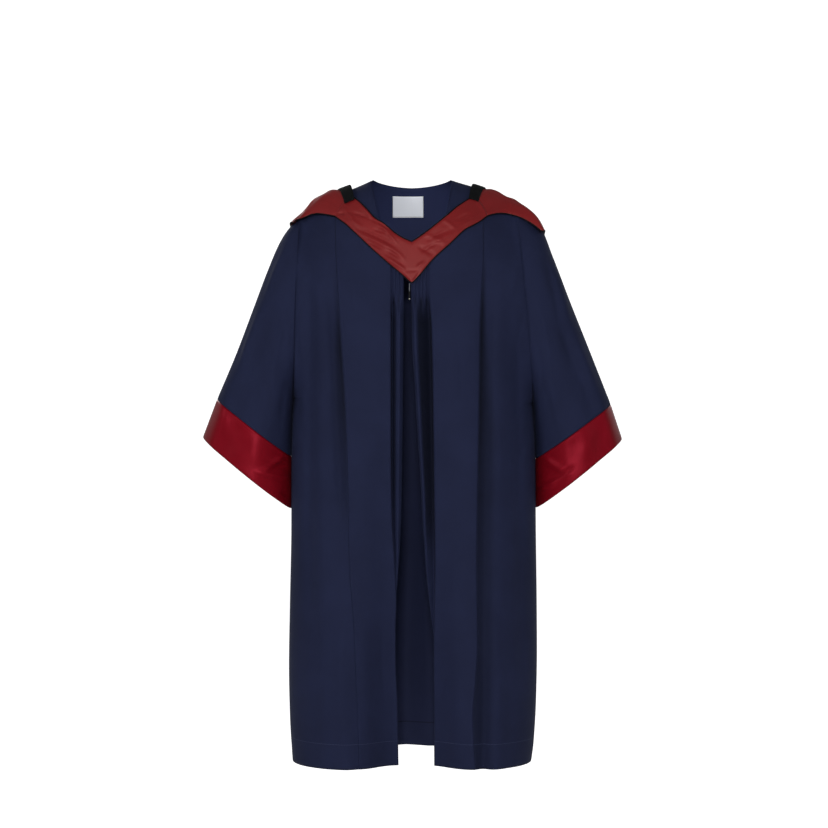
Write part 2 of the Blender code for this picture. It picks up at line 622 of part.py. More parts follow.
def cuff_grid(side):
    top = sleeve_row(side, 1.0)
    end = dict(CUFF_END[side], depth=CUFF_END_DEPTH, sag=CUFF_END_SAG)
    fall = math.hypot(end["outer_out"] - top["outer_out"], end["outer_drop"] - top["outer_drop"])
    rings = []
    for share in np.linspace(SEAM_GAP / fall, 1, CUFF_STEPS + 1):
        row = {name: top[name] + share * (end[name] - top[name]) for name in top}
        rings.append(sleeve_ring(side, row, 1.0))
    return np.array(rings)


def bend_at(side, out, signed_drop):
    """Angle round the shoulder at a place: 0 on the shoulder line, below 0 in front, above 0 behind."""
    below = (np.abs(signed_drop) + shoulder_height(side, out)) / SHOULDER_ROUND
    angle = np.where(below < 1, np.arccos(np.clip(1 - below, -1, 1)), math.pi / 2 + below - 1)
    return -np.sign(signed_drop) * angle


def shoulder_point(side, out, bend):
    """A point of the plain worn form, which goes over the shoulder line and on over the sleeve's head."""
    turned = np.abs(bend)
    below = np.where(turned < math.pi / 2, 1 - np.cos(turned), 1 + turned - math.pi / 2) * SHOULDER_ROUND
    drop = below - shoulder_height(side, out)
    pit, top = ARMHOLE[side]["pit"], ARMHOLE[side]["top"]
    place = np.clip(1 - below / ((pit - top) / 2), 0, 1)
    sleeve = ARMHOLE_DEPTH * np.sqrt(1 - place**2)
    front = body_depth(side, out, drop, "front")
    back = body_depth(side, out, drop, "back")
    beyond = out > SIDE_LINE[side].read("out", drop)
    depth = np.where(bend < 0, front, back)
    depth = np.where(beyond, np.maximum(sleeve, depth), depth)
    return np.stack([side * out, np.sign(bend) * depth, -drop], -1)


def hood_half(side, table, steps):
    """Rows along the band by columns across it, on the worn form and moved out to its own clearance."""
    place = np.linspace(table.key[0], table.key[-1], steps + 1)
    knots = table.key
    rows = []
    for edge in ("inner", "outer"):
        out = table.columns[edge + "_out"]
        bend = bend_at(side, out, table.columns[edge + "_drop"])
        smooth = Table("place out bend", *zip(knots, out, bend))
        rows.append((smooth.read("out", place), smooth.read("bend", place)))
    across = np.linspace(0, 1, HOOD_COLUMNS + 1)
    out = rows[0][0][:, None] * (1 - across) + rows[1][0][:, None] * across
    bend = rows[0][1][:, None] * (1 - across) + rows[1][1][:, None] * across
    return shoulder_point(side, out, bend), table.read("clear", place)


def joined_halves(tables, steps, last_first):
    """Both halves of a hood piece as one grid, from the right seam to the left one."""
    right, right_clear = hood_half(RIGHT, tables[RIGHT], steps)
    left, left_clear = hood_half(LEFT, tables[LEFT], steps)
    if last_first:
        return np.concatenate([right[::-1], left[1:]]), np.concatenate([right_clear[::-1], left_clear[1:]])
    return np.concatenate([right, left[::-1][1:]]), np.concatenate([right_clear, left_clear[::-1][1:]])


def hood_grids():
    front, front_clear = joined_halves(HOOD_FRONT, HOOD_FRONT_STEPS, True)
    back, back_clear = joined_halves(HOOD_BACK, HOOD_BACK_STEPS, False)
    front = moved(front, front_clear, False)
    back = moved(back, back_clear, True)
    return front, back


def trimmed(points):
    """The grid with its two end rows drawn back to leave the seam gaps."""
    points = points.copy()
    for end, inside in ((0, 1), (-1, -2)):
        points[end] += SEAM_GAP * unit(points[inside] - points[end])
    return points


def piping_line(front, back, edge):
    """A closed line just off one edge of the hood, all the way round."""
    inside = 1 if edge == 0 else -2
    lines = []
    for points in (front, back[::-1]):
        lift = normals(points, False)[:, edge]
        along = unit(np.gradient(points[:, edge], axis=0))
        away = points[:, edge] - points[:, inside]
        away = unit(away - along * np.sum(away * along, -1, keepdims=True))
        middle = points[:, edge] - lift * SATIN_WALL / 2
        lines.append(middle + away * (PIPING_RADIUS + PIPING_GAP) + lift * PIPING_LIFT)
    return np.concatenate([lines[0][:-1], lines[1][:-1]])


def strap_grid(side):
    place = np.linspace(STRAP.key[0], STRAP.key[-1], STRAP_STEPS + 1)
    across = np.linspace(0, 1, STRAP_COLUMNS + 1)
    inner, outer = STRAP.read("inner_out", place), STRAP.read("outer_out", place)
    out = inner[:, None] * (1 - across) + outer[:, None] * across
    bend = np.repeat(STRAP.read("bend", place)[:, None], STRAP_COLUMNS + 1, 1)
    return moved(shoulder_point(side, out, bend), STRAP_CLEAR[side], side == RIGHT)


def label_grid():
    x = LABEL["middle_x"] + LABEL["width"] * np.linspace(-0.5, 0.5, LABEL_STEPS + 1)
    drop = LABEL["middle_drop"] + LABEL["height"] * np.linspace(-0.5, 0.5, LABEL_STEPS + 1)
    panel = back_grid()
    rows, columns = panel.shape[:2]
    quads = [
        (r * columns + c, r * columns + c + 1, (r + 1) * columns + c + 1, (r + 1) * columns + c)
        for r in range(rows - 1)
        for c in range(columns - 1)
    ]
    tree = BVHTree.FromPolygons(panel.reshape(-1, 3).tolist(), quads)
    points = np.array([[tree.ray_cast((px, 0, -pz), (0, 1, 0))[0] for px in x] for pz in drop])
    return moved(points, -(WALL + LYING_GAP + LABEL["wall"]), False)


def material(name, colour, roughness, metallic=0.0):
    made = bpy.data.materials.new(name)
    made.use_nodes = True
    shader = made.node_tree.nodes["Principled BSDF"]
    shader.inputs["Base Color"].default_value = (*colour, 1)
    shader.inputs["Roughness"].default_value = roughness
    shader.inputs["Metallic"].default_value = metallic
    made.diffuse_color = (*colour, 1)
    return made


def keep(obj, finish):
    """Puts an object in the gown's collection with its material."""
    for owner in obj.users_collection:
        owner.objects.unlink(obj)
    bpy.data.collections["graduation_gown"].objects.link(obj)
    if obj.data.materials:
        obj.data.materials[0] = finish
    else:
        obj.data.materials.append(finish)
    return obj


def cloth(name, points, wall, finish, flip, ring=False, first_rows=None):
    """An open grid with a wall to its inner side. first_rows gives each column's first row."""
    rows, columns = points.shape[:2]
    first_rows = np.zeros(columns, int) if first_rows is None else first_rows
    faces = []
    for r in range(rows - 1):
        for c in range(columns if ring else columns - 1):
            after = (c + 1) % columns
            corners = [(r, c), (r, after), (r + 1, after), (r + 1, c)]
            face = [row * columns + column for row, column in corners if row >= first_rows[column]]
            if len(face) > 2:
                faces.append(face[::-1] if flip else face)
    mesh = bpy.data.meshes.new(name)
    used = np.unique(np.concatenate(faces))
    place = {int(index): i for i, index in enumerate(used)}
    faces = [[place[index] for index in face] for face in faces]
    mesh.from_pydata(points.reshape(-1, 3)[used].tolist(), [], faces)
    mesh.shade_smooth()
    obj = bpy.data.objects.new(name, mesh)
    bpy.context.scene.collection.objects.link(obj)
    solid = obj.modifiers.new("wall", "SOLIDIFY")
    solid.thickness = wall
    solid.offset = -1
    return keep(obj, finish)


def tube(name, points, radius, finish, closed):
    curve = bpy.data.curves.new(name, "CURVE")
    curve.dimensions = "3D"
    curve.bevel_depth = radius
    curve.bevel_resolution = 0
    curve.use_fill_caps = True
    line = curve.splines.new("POLY")
    line.points.add(len(points) - 1)
    for place, point in zip(line.points, points):
        place.co = (*point, 1)
    line.use_cyclic_u = closed
    obj = bpy.data.objects.new(name, curve)
    bpy.context.scene.collection.objects.link(obj)
    return keep(obj, finish)


def fastening(edge_line, navy, metal, cord):
    """The small loop, clasp and bead that hang from the hood's edge below the V."""
    x = FASTENING["x"]
    in_front = edge_line[edge_line[:, 1] < 0]
    line = in_front[np.argsort(in_front[:, 0])]
    y = np.interp(x, line[:, 0], line[:, 1])
    near, far = np.interp([x, x + FASTENING["loop_radius"]], line[:, 0], line[:, 2])
    steepness = math.hypot(1, (far - near) / FASTENING["loop_radius"])
    top = -min(near, far) + PIPING_RADIUS * steepness + SEAM_GAP
    loop_end = top + FASTENING["loop"]
    tube("fastening_loop", [(x, y, -top), (x, y, -loop_end)], FASTENING["loop_radius"], cord, False)
    clasp_top = loop_end + SEAM_GAP
    clasp_end = clasp_top + FASTENING["clasp"]
    bpy.ops.mesh.primitive_cube_add(size=1, location=(x, y, -(clasp_top + clasp_end) / 2))
    clasp = bpy.context.object
    clasp.name = "fastening_clasp"
    clasp.scale = (FASTENING["clasp_width"], FASTENING["clasp_depth"], FASTENING["clasp"])
    bpy.ops.object.transform_apply(location=False, rotation=False, scale=True)
    soft = clasp.modifiers.new("soft edges", "BEVEL")
    soft.width = FASTENING["clasp_edge"]
    soft.segments = 2
    keep(clasp, navy)
    bead = FASTENING["bead"]
    bpy.ops.mesh.primitive_uv_sphere_add(
        segments=10, ring_count=6, radius=bead, location=(x, y, -(clasp_end + SEAM_GAP + bead))
    )
    bpy.context.object.name = "fastening_bead"
    keep(bpy.context.object, metal)


def build():
    for obj in list(bpy.data.objects):
        bpy.data.objects.remove(obj)
    bpy.context.scene.collection.children.link(bpy.data.collections.new("graduation_gown"))
    navy = material("navy_cloth", NAVY, 0.75)
    red = material("hood_satin", HOOD_RED, 0.38)
    crimson = material("cuff_satin", CUFF_CRIMSON, 0.32)
    velvet = material("black_velvet", VELVET_BLACK, 0.95)
    piping = material("dark_piping", PIPING_NAVY, 0.6)
    white = material("label_cloth", LABEL_WHITE, 0.6)
    metal = material("bright_metal", METAL, 0.25, 1.0)
    cord = material("pale_cord", CORD_GREY, 0.6)

    cloth("back_panel", back_grid(), WALL, navy, False)
    for side, word in ((RIGHT, "right"), (LEFT, "left")):
        cloth("front_" + word, front_grid(side), WALL, navy, side == LEFT)
        band, first_rows = facing_grid(side)
        cloth("facing_" + word, band, WALL, navy, side == LEFT, first_rows=first_rows)
        cloth("sleeve_" + word, sleeve_grid(side), WALL, navy, side == RIGHT, True)
        cloth("cuff_" + word, cuff_grid(side), SATIN_WALL, crimson, side == RIGHT, True)
        cloth("strap_" + word, strap_grid(side), WALL, velvet, side == RIGHT)
    hood_front, hood_back = hood_grids()
    cloth("hood_front", trimmed(hood_front), SATIN_WALL, red, False)
    cloth("hood_back", trimmed(hood_back), SATIN_WALL, red, True)
    tube("hood_piping_inner", piping_line(hood_front, hood_back, 0), PIPING_RADIUS, piping, True)
    edge_line = piping_line(hood_front, hood_back, -1)
    tube("hood_piping_outer", edge_line, PIPING_RADIUS, piping, True)
    cloth("neck_label", label_grid(), LABEL["wall"], white, True)
    fastening(edge_line, piping, metal, cord)


build()
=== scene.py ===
"""An open-fronted graduation gown with wide sleeves and a satin V hood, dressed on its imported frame.

Metres, +Z up. The front faces -Y, so the wearer's right side is at -X and the left side at +X.
"""

import math

import bpy
import numpy as np
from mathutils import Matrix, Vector
from mathutils.bvhtree import BVHTree


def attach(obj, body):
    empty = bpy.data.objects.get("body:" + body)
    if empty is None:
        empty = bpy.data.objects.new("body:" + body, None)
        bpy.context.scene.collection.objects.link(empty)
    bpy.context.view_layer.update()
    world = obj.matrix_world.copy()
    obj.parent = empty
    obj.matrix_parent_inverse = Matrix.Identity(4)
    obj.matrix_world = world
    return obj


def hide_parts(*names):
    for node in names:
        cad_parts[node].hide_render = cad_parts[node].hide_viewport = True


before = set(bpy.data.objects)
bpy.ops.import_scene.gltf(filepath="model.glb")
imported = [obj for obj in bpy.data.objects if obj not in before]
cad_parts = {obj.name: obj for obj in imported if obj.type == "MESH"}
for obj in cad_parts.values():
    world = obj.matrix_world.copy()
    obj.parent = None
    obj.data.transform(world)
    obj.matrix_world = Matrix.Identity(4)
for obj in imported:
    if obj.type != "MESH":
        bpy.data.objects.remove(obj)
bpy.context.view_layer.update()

# Driving dimensions
LENGTH = 1.190  # neck point to hem
NECK_HALF = 0.080
SHOULDER_ROUND = 0.120  # how far down the body's depth takes to grow in full
ARMHOLE_DEPTH = 0.075  # half the sleeve's front-to-back depth at the armhole
BODY_CORNER = 2.5  # exponent of the body's plan curve
NEAR_SIDE = 20  # exponent of how closely the cloth near the side follows the armhole's edge
PLAN_DEPTH = 0.55  # of the plan curve by which columns are spaced, as a share of half its width
# Drops between which the body's sides round out below the arms
SIDES_ROUND = (0.28, 0.54)
# Drops between which the armhole's depth fades in and out, from its top and from its lowest point
ARMHOLE_FADE = {"top": (-0.03, 0.15), "pit": (-0.20, 0.10)}
RIGHT, LEFT = -1, 1
SIDES = ((RIGHT, "right"), (LEFT, "left"))

# Colours
NAVY = (0.0096, 0.0124, 0.0345)
HOOD_RED = (0.150, 0.0092, 0.0104)
CUFF_CRIMSON = (0.128, 0.0022, 0.0062)
VELVET_BLACK = (0.0030, 0.0036, 0.0040)
PIPING_NAVY = (0.0018, 0.0019, 0.0030)
LABEL_WHITE = (0.90, 0.93, 1.0)
METAL = (0.42, 0.42, 0.36)
CORD_GREY = (0.13, 0.14, 0.17)
HEM_THREAD = (0.030, 0.036, 0.075)
LABEL_THREAD = (0.55, 0.56, 0.62)
NAVY_SHEEN = (0.45, 0.52, 0.80, 1)
NAVY_GLOSS = (0.72, 0.78, 1.0, 1)
HOOD_GLOSS = (1.0, 0.45, 0.42, 1)
CUFF_GLOSS = (1.0, 0.08, 0.14, 1)
VELVET_SHEEN = (0.55, 0.58, 0.60, 1)
# Painted light: the back's inside painted brighter than the cloth low down and at the neck, and the heights
# where that fades in
INSIDE_PAINTED_LIGHT = 1.10
NECK_PAINTED_LIGHT = 2.10
NECK_PAINTED_LIGHT_FADE = (-0.34, -0.16)
DYE_SPOTS = 9  # per metre, of the slow unevenness of the dye
SLUBS = (900, 14, 1)  # per metre across and down, of the thicker stretches of thread
SATIN_GRAIN = 0.00003  # depth of the fine threads of the satins and the label
LABEL_HEM = 0.0022  # from the label's edge to its stitches
FLOOR_GREY = (0.70, 0.70, 0.70)


class Table:
    """Rows of sizes under named columns, read smoothly between the rows of the first column."""

    def __init__(self, names, *rows):
        columns = np.array(rows, float).T
        self.key = columns[0]
        self.columns = dict(zip(names.split(), columns))

    def read(self, name, at):
        x, y = self.key, self.columns[name]
        step = np.diff(x)
        rise = np.diff(y) / step
        slope = np.zeros_like(y)
        same_way = rise[:-1] * rise[1:] > 0
        total = np.where(same_way, rise[:-1] + rise[1:], 1)
        slope[1:-1] = np.where(same_way, 2 * rise[:-1] * rise[1:] / total, 0)
        slope[0], slope[-1] = rise[0], rise[-1]
        at = np.clip(at, x[0], x[-1])
        i = np.clip(np.searchsorted(x, at) - 1, 0, len(x) - 2)
        t = (at - x[i]) / step[i]
        start = y[i] * (1 + 2 * t) + slope[i] * step[i] * t
        end = y[i + 1] * (3 - 2 * t) + slope[i + 1] * step[i] * (t - 1)
        return start * (1 - t) ** 2 + end * t**2


# "out" is the distance from the middle, "drop" the distance below the origin.
SHOULDER = {
    RIGHT: Table(
        "out height",
        (0.000, 0.0400), (0.040, 0.0220), (0.080, 0.0000), (0.117, -0.0165), (0.150, -0.0290),
        (0.178, -0.0370), (0.206, -0.0580), (0.231, -0.0780), (0.251, -0.0970), (0.265, -0.1165),
        (0.279, -0.1440), (0.290, -0.1690),
    ),
    LEFT: Table(
        "out height",
        (0.000, 0.0400), (0.040, 0.0220), (0.080, 0.0000), (0.126, -0.0143), (0.155, -0.0240),
        (0.194, -0.0390), (0.216, -0.0500), (0.2325, -0.0605), (0.250, -0.0745), (0.264, -0.0945),
        (0.279, -0.1265), (0.294, -0.1670),
    ),
}
NECKLINE = Table(
    "out drop",
    (-0.020, 0.178), (0.000, 0.175), (0.012, 0.168), (0.030, 0.150), (0.050, 0.125),
    (0.067, 0.0865), (0.076, 0.040), (0.080, 0.000),
)
BACK_NECK_DIP = 0.0095
SIDE_LINE = {
    RIGHT: Table(
        "drop out",
        (0.079, 0.2300), (0.110, 0.2330), (0.200, 0.2350), (0.370, 0.2390), (0.450, 0.2440),
        (0.480, 0.2460), (0.502, 0.2468), (0.528, 0.2475), (0.568, 0.2480), (0.670, 0.2482),
        (0.720, 0.2483), (0.865, 0.2510), (1.000, 0.2530), (1.100, 0.2510), (1.190, 0.2455),
    ),
    LEFT: Table(
        "drop out",
        (0.0485, 0.2120), (0.115, 0.2190), (0.200, 0.2275), (0.285, 0.2360), (0.375, 0.2430),
        (0.460, 0.2490), (0.488, 0.2506), (0.508, 0.2516), (0.531, 0.2526), (0.573, 0.2538),
        (0.670, 0.2545), (0.720, 0.2548), (0.865, 0.2565), (0.965, 0.2570), (1.070, 0.2550),
        (1.155, 0.2500), (1.190, 0.2455),
    ),
}
ARMHOLE = {
    RIGHT: {"top": 0.0790, "pit": 0.4500},
    LEFT: {"top": 0.0485, "pit": 0.4600},
}
BODY_DEPTH = Table(
    "drop front back",
    (0.00, 0.088, 0.085), (0.10, 0.102, 0.100), (0.20, 0.117, 0.115), (0.30, 0.127, 0.122),
    (0.50, 0.138, 0.130), (0.80, 0.158, 0.150), (1.19, 0.182, 0.172),
)
# The front falls back beside the opening, from "from_drop" down, by a share of its depth at the hem.
OPENING_FALL = {"share": 0.47, "from_drop": 0.25, "growth": 1.2, "middle": 0.027, "spread": 0.07}

# The band beside the opening, from its inner edge to its outer crease
BAND = {
    RIGHT: Table(
        "drop inner crease",
        (0.00, 0.0425, 0.158), (0.14, 0.0422, 0.1548), (0.31, 0.0420, 0.1444), (0.48, 0.0420, 0.1331),
        (0.61, 0.0415, 0.1286), (0.70, 0.0395, 0.1275), (0.78, 0.0345, 0.1260), (0.86, 0.0310, 0.1199),
        (0.91, 0.0328, 0.1165), (0.98, 0.0325, 0.1134), (1.06, 0.0292, 0.1095), (1.19, 0.0270, 0.1055),
    ),
    LEFT: Table(
        "drop inner crease",
        (0.00, 0.0340, 0.1450), (0.15, 0.0340, 0.1447), (0.23, 0.0341, 0.1404), (0.31, 0.0395, 0.1370),
        (0.49, 0.0430, 0.1341), (0.61, 0.0445, 0.1318), (0.79, 0.0462, 0.1295), (0.86, 0.0448, 0.1305),
        (0.93, 0.0438, 0.1313), (1.01, 0.0440, 0.1274), (1.08, 0.0444, 0.1214), (1.19, 0.0452, 0.1267),
    ),
}
BAND_TOP = {"drop_at_middle": 0.183, "slope": 0.82}  # the band's upper edge, under the hood
# The gathered cloth inside the band: it shows less and less, and at last lies behind the band.
GATHERED_EDGE = {
    RIGHT: Table(
        "drop out",
        (0.00, 0.0165), (0.23, 0.0165), (0.45, 0.0180), (0.65, 0.0208), (0.71, 0.0225),
        (0.78, 0.0262), (0.84, 0.0310), (0.90, 0.0375), (1.00, 0.0375), (1.06, 0.0330), (1.19, 0.0300),
    ),
    LEFT: Table(
        "drop out",
        (0.00, -0.0020), (0.31, -0.0010), (0.45, 0.0065), (0.55, 0.0125), (0.65, 0.0188),
        (0.71, 0.0213), (0.76, 0.0254), (0.81, 0.0290), (0.86, 0.0345), (0.91, 0.0410), (0.97, 0.0470),
        (1.19, 0.0485),
    ),
}
LEAST_GATHER = 0.009
LEAST_WIDTH = 0.001
COVERED = 0.018  # how far under the band the gathered cloth's own grid goes
# The gathered cloth's one large roll and the hollow beside it, from its own edge (0) to the band's edge (1)
ROLLS = {
    RIGHT: {
        "ridge": 0.34, "spread": 0.20, "rise": 0.0060, "hollow": 0.56, "slope": 0.34, "fall": 0.0125,
        "full_width": 0.0255,
    },
    LEFT: {
        "ridge": 0.16, "spread": 0.14, "rise": 0.0085, "hollow": 0.28, "slope": 0.62, "fall": 0.0180,
        "full_width": 0.0400,
    },
}
ROLLED_EDGE = {"fall": 0.0060, "width": 0.3}
GATHERS_TOP = (0.225, 0.290)  # drops between which the rolls grow below their seam
GATHERS_END = (0.93, 1.02)  # places across, as above, between which the hollow ends at the band
GATHERS_LIMIT = 1.6
PLEAT = {
    "pitch": 0.0074, "rise": 0.0013, "first_drop": 0.150, "grow": 0.015, "seam_drop": 0.236, "fade": 0.035,
    "ends": (0.95, 1.15),
}
# Hollows at the gathers' seam, at places across the gathered cloth as above
SEAM_HOLLOWS = {RIGHT: (0.40, 0.80), LEFT: (0.20, 0.55, 0.85)}
SEAM_HOLLOW = {"drop": 0.262, "height": 0.020, "width": 0.07, "fall": 0.0045}
SEAM_HOLLOW_SHADE = {"drop": 0.256, "height": 0.010, "width": 0.08, "depth": 0.45}
# How dark the hollow beside the roll is, and the drops between which that ends
HOLLOW_SHADE = {RIGHT: {"depth": 0.45, "ends": (0.62, 0.74)}, LEFT: {"depth": 0.70, "ends": (0.66, 0.82)}}
# Where that starts and ends, as shares across the gathered cloth, and the drops between which it starts
HOLLOW_SHADE_PLACE = {"start": (-0.06, 0.10), "end": (0.96, 1.04), "top": (0.235, 0.300)}
# The shaded strip of cloth beside each band's crease, and where its shade grows and fades across its width
STRIP_GROW = (-0.05, 0.10)
STRIP_FADE = (0.25, 1.0)
STRIP_SHADE = {
    RIGHT: Table(
        "drop width depth",
        (0.17, 0.010, 0.00), (0.26, 0.012, 0.15), (0.36, 0.024, 0.45), (0.50, 0.032, 0.35),
        (0.66, 0.030, 0.12), (0.78, 0.024, 0.00), (1.19, 0.024, 0.00),
    ),
    LEFT: Table(
        "drop width depth",
        (0.16, 0.008, 0.00), (0.22, 0.010, 0.30), (0.32, 0.018, 0.50), (0.45, 0.036, 0.50),
        (0.62, 0.050, 0.42), (0.85, 0.052, 0.36), (1.19, 0.054, 0.30),
    ),
}
# Painted shade: a thin darker line along each band's crease, part of the fronts' deep shade
CREASE_SHADE_LINE = {"share": 0.75, "out": 0.0015, "spread": 0.0035}  # a darker line along the crease itself

# Long soft folds of the panels: a gentle ridge (rise above 0) or trough
FOLD_NAMES = "top_out top_drop bottom_out bottom_drop spread rise"
FRONT_FOLDS = {
    RIGHT: (
        (0.161, 0.22, 0.140, 0.72, 0.010, -0.0085),
        (0.184, 0.14, 0.176, 1.16, 0.015, 0.0040),
        (0.207, 0.17, 0.204, 0.92, 0.011, -0.0045),
        (0.100, 0.86, 0.086, 1.19, 0.016, 0.0030),
        (0.150, 0.84, 0.130, 1.19, 0.018, 0.0035),
    ),
    LEFT: (
        (0.150, 0.20, 0.141, 1.30, 0.012, -0.0090),
        (0.178, 0.20, 0.172, 1.19, 0.016, 0.0040),
        (0.212, 0.30, 0.222, 1.05, 0.012, -0.0040),
        (0.148, 0.95, 0.140, 1.19, 0.012, -0.0040),
        (0.080, 0.70, 0.088, 1.19, 0.018, 0.0030),
    ),
}
# The back's folds: "out" here runs from -X to +X.
BACK_FOLDS = (
    (-0.190, 0.34, -0.196, 1.19, 0.018, 0.0050),
    (-0.148, 0.39, -0.150, 1.19, 0.017, -0.0060),
    (-0.100, 0.42, -0.108, 1.19, 0.019, 0.0060),
    (-0.052, 0.44, -0.060, 1.19, 0.018, -0.0065),
    (-0.008, 0.45, -0.012, 1.19, 0.018, 0.0060),
    (0.036, 0.44, 0.040, 1.19, 0.017, -0.0060),
    (0.084, 0.42, 0.090, 1.19, 0.019, 0.0065),
    (0.132, 0.40, 0.138, 1.19, 0.018, -0.0060),
    (0.180, 0.36, 0.188, 1.19, 0.018, 0.0050),
)
FOLD_FADE = 0.10
BACK_FOLD_FADE = 0.34
BACK_FOLD_SIZE = 1.7
BACK_TROUGH = {"shade": 0.32, "full": 0.006}  # its shade is in full from this depth on

# Sleeve rings: "outer" is the arm's upper line, "under" the underarm line, "depth" half of it front to back.
SLEEVE_NAMES = "along outer_out outer_drop under_out under_drop depth sag"
SLEEVE = {
    RIGHT: Table(
        SLEEVE_NAMES,
        (0.00, 0.2300, 0.0790, 0.2440, 0.4500, 0.0750, 0.000),
        (0.06, 0.2510, 0.0970, 0.2447, 0.4620, 0.0750, 0.000),
        (0.16, 0.2710, 0.1270, 0.2456, 0.4800, 0.0745, 0.001),
        (0.30, 0.2955, 0.1830, 0.2464, 0.5020, 0.0735, 0.001),
        (0.50, 0.3245, 0.2600, 0.2471, 0.5280, 0.0715, 0.002),
        (0.75, 0.3630, 0.3613, 0.2475, 0.5520, 0.0690, 0.002),
        (1.00, 0.4010, 0.4507, 0.2476, 0.5683, 0.0670, 0.002),
    ),
    LEFT: Table(
        SLEEVE_NAMES,
        (0.00, 0.2120, 0.0485, 0.2490, 0.4600, 0.0750, 0.000),
        (0.06, 0.2360, 0.0622, 0.2495, 0.4720, 0.0750, 0.000),
        (0.16, 0.2640, 0.0945, 0.2502, 0.4880, 0.0745, 0.001),
        (0.30, 0.2895, 0.1570, 0.2512, 0.5080, 0.0735, 0.001),
        (0.50, 0.3260, 0.2525, 0.2522, 0.5310, 0.0715, 0.002),
        (0.75, 0.3665, 0.3540, 0.2529, 0.5540, 0.0690, 0.002),
        (1.00, 0.4090, 0.4614, 0.2534, 0.5727, 0.0670, 0.002),
    ),
}
CUFF_END = {
    RIGHT: {"outer_out": 0.4306, "outer_drop": 0.5294, "under_out": 0.2477, "under_drop": 0.6757},
    LEFT: {"outer_out": 0.4325, "outer_drop": 0.5330, "under_out": 0.2541, "under_drop": 0.6740},
}
CUFF_END_DEPTH = 0.070
CUFF_END_SAG = 0.003
# Lengthwise folds of the sleeves, at a turn round the ring (0 on the upper line, 90 in front)
SLEEVE_FOLDS = (
    {"turn": 38, "spread": 12, "rise": 0.0045},
    {"turn": 62, "spread": 11, "rise": -0.0035},
    {"turn": 105, "spread": 16, "rise": 0.0030},
    {"turn": 230, "spread": 16, "rise": 0.0035},
    {"turn": 265, "spread": 14, "rise": -0.0035},
    {"turn": 312, "spread": 13, "rise": 0.0040},
)

# The hood's band, from the V at the front to the middle of the back. A drop on the back is negative here.
HOOD_NAMES = "place inner_out inner_drop outer_out outer_drop clear"
HOOD_FRONT = {
    RIGHT: Table(
        HOOD_NAMES,
        (0, 0.0000, 0.1370, 0.0000, 0.2203, 0.0046),
        (1, 0.0180, 0.1292, 0.0190, 0.2025, 0.0046),
        (2, 0.0362, 0.1170, 0.0422, 0.1832, 0.0046),
        (3, 0.0564, 0.0992, 0.0700, 0.1585, 0.0046),
        (4, 0.0755, 0.0873, 0.1000, 0.1296, 0.0046),
        (5, 0.0859, 0.0752, 0.1190, 0.1113, 0.0046),
        (6, 0.0996, 0.0600, 0.1340, 0.0970, 0.0052),
        (7, 0.1149, 0.0460, 0.1460, 0.0880, 0.0060),
        (8, 0.1270, 0.0395, 0.1545, 0.0815, 0.0066),
    ),
    LEFT: Table(
        HOOD_NAMES,
        (0, 0.0000, 0.1370, 0.0000, 0.2203, 0.0046),
        (1, 0.0180, 0.1245, 0.0190, 0.1985, 0.0046),
        (2, 0.0360, 0.1110, 0.0380, 0.1753, 0.0046),
        (3, 0.0565, 0.0940, 0.0620, 0.1520, 0.0046),
        (4, 0.0740, 0.0790, 0.0877, 0.1276, 0.0046),
        (5, 0.0912, 0.0637, 0.1050, 0.1110, 0.0046),
        (6, 0.1060, 0.0530, 0.1210, 0.1020, 0.0046),
        (7, 0.1182, 0.0447, 0.1360, 0.0930, 0.0046),
        (8, 0.1285, 0.0385, 0.1520, 0.0800, 0.0046),
    ),
}
HOOD_BACK = {
    RIGHT: Table(
        HOOD_NAMES,
        (0, 0.1270, 0.0395, 0.1545, 0.0815, 0.0066),
        (1, 0.1350, 0.0270, 0.1762, 0.0765, 0.0074),
        (2, 0.1420, -0.0300, 0.2050, 0.0770, 0.0098),
        (3, 0.1460, -0.0370, 0.2300, 0.0880, 0.0088),
        (4, 0.1485, -0.0450, 0.2420, 0.0960, 0.0070),
        (5, 0.1500, -0.0560, 0.2480, -0.0990, 0.0060),
        (6, 0.1500, -0.0690, 0.2470, -0.1290, 0.0054),
        (7, 0.1460, -0.0850, 0.2400, -0.1700, 0.0046),
        (8, 0.1260, -0.1120, 0.2150, -0.2500, 0.0036),
        (9, 0.0900, -0.1340, 0.1600, -0.3500, 0.0030),
        (10, 0.0460, -0.1460, 0.0850, -0.4200, 0.0026),
        (11, 0.0000, -0.1500, 0.0000, -0.4450, 0.0024),
    ),
    LEFT: Table(
        HOOD_NAMES,
        (0, 0.1285, 0.0385, 0.1520, 0.0800, 0.0046),
        (1, 0.1360, 0.0250, 0.1800, 0.0730, 0.0046),
        (2, 0.1420, -0.0260, 0.2130, 0.0783, 0.0048),
        (3, 0.1460, -0.0340, 0.2483, 0.0983, 0.0052),
        (4, 0.1485, -0.0420, 0.2660, 0.1130, 0.0052),
        (5, 0.1500, -0.0520, 0.2710, -0.1280, 0.0052),
        (6, 0.1500, -0.0660, 0.2690, -0.1500, 0.0052),
        (7, 0.1460, -0.0830, 0.2560, -0.1850, 0.0050),
        (8, 0.1260, -0.1110, 0.2230, -0.2560, 0.0038),
        (9, 0.0900, -0.1340, 0.1630, -0.3500, 0.0030),
        (10, 0.0460, -0.1460, 0.0860, -0.4200, 0.0026),
        (11, 0.0000, -0.1500, 0.0000, -0.4450, 0.0024),
    ),
}
PIPING_RADIUS = 0.0012
PIPING_LIFT = 0.0007
PIPING_SET_IN = 0.7  # share of its radius by which the piping's middle stands off the hood's edge

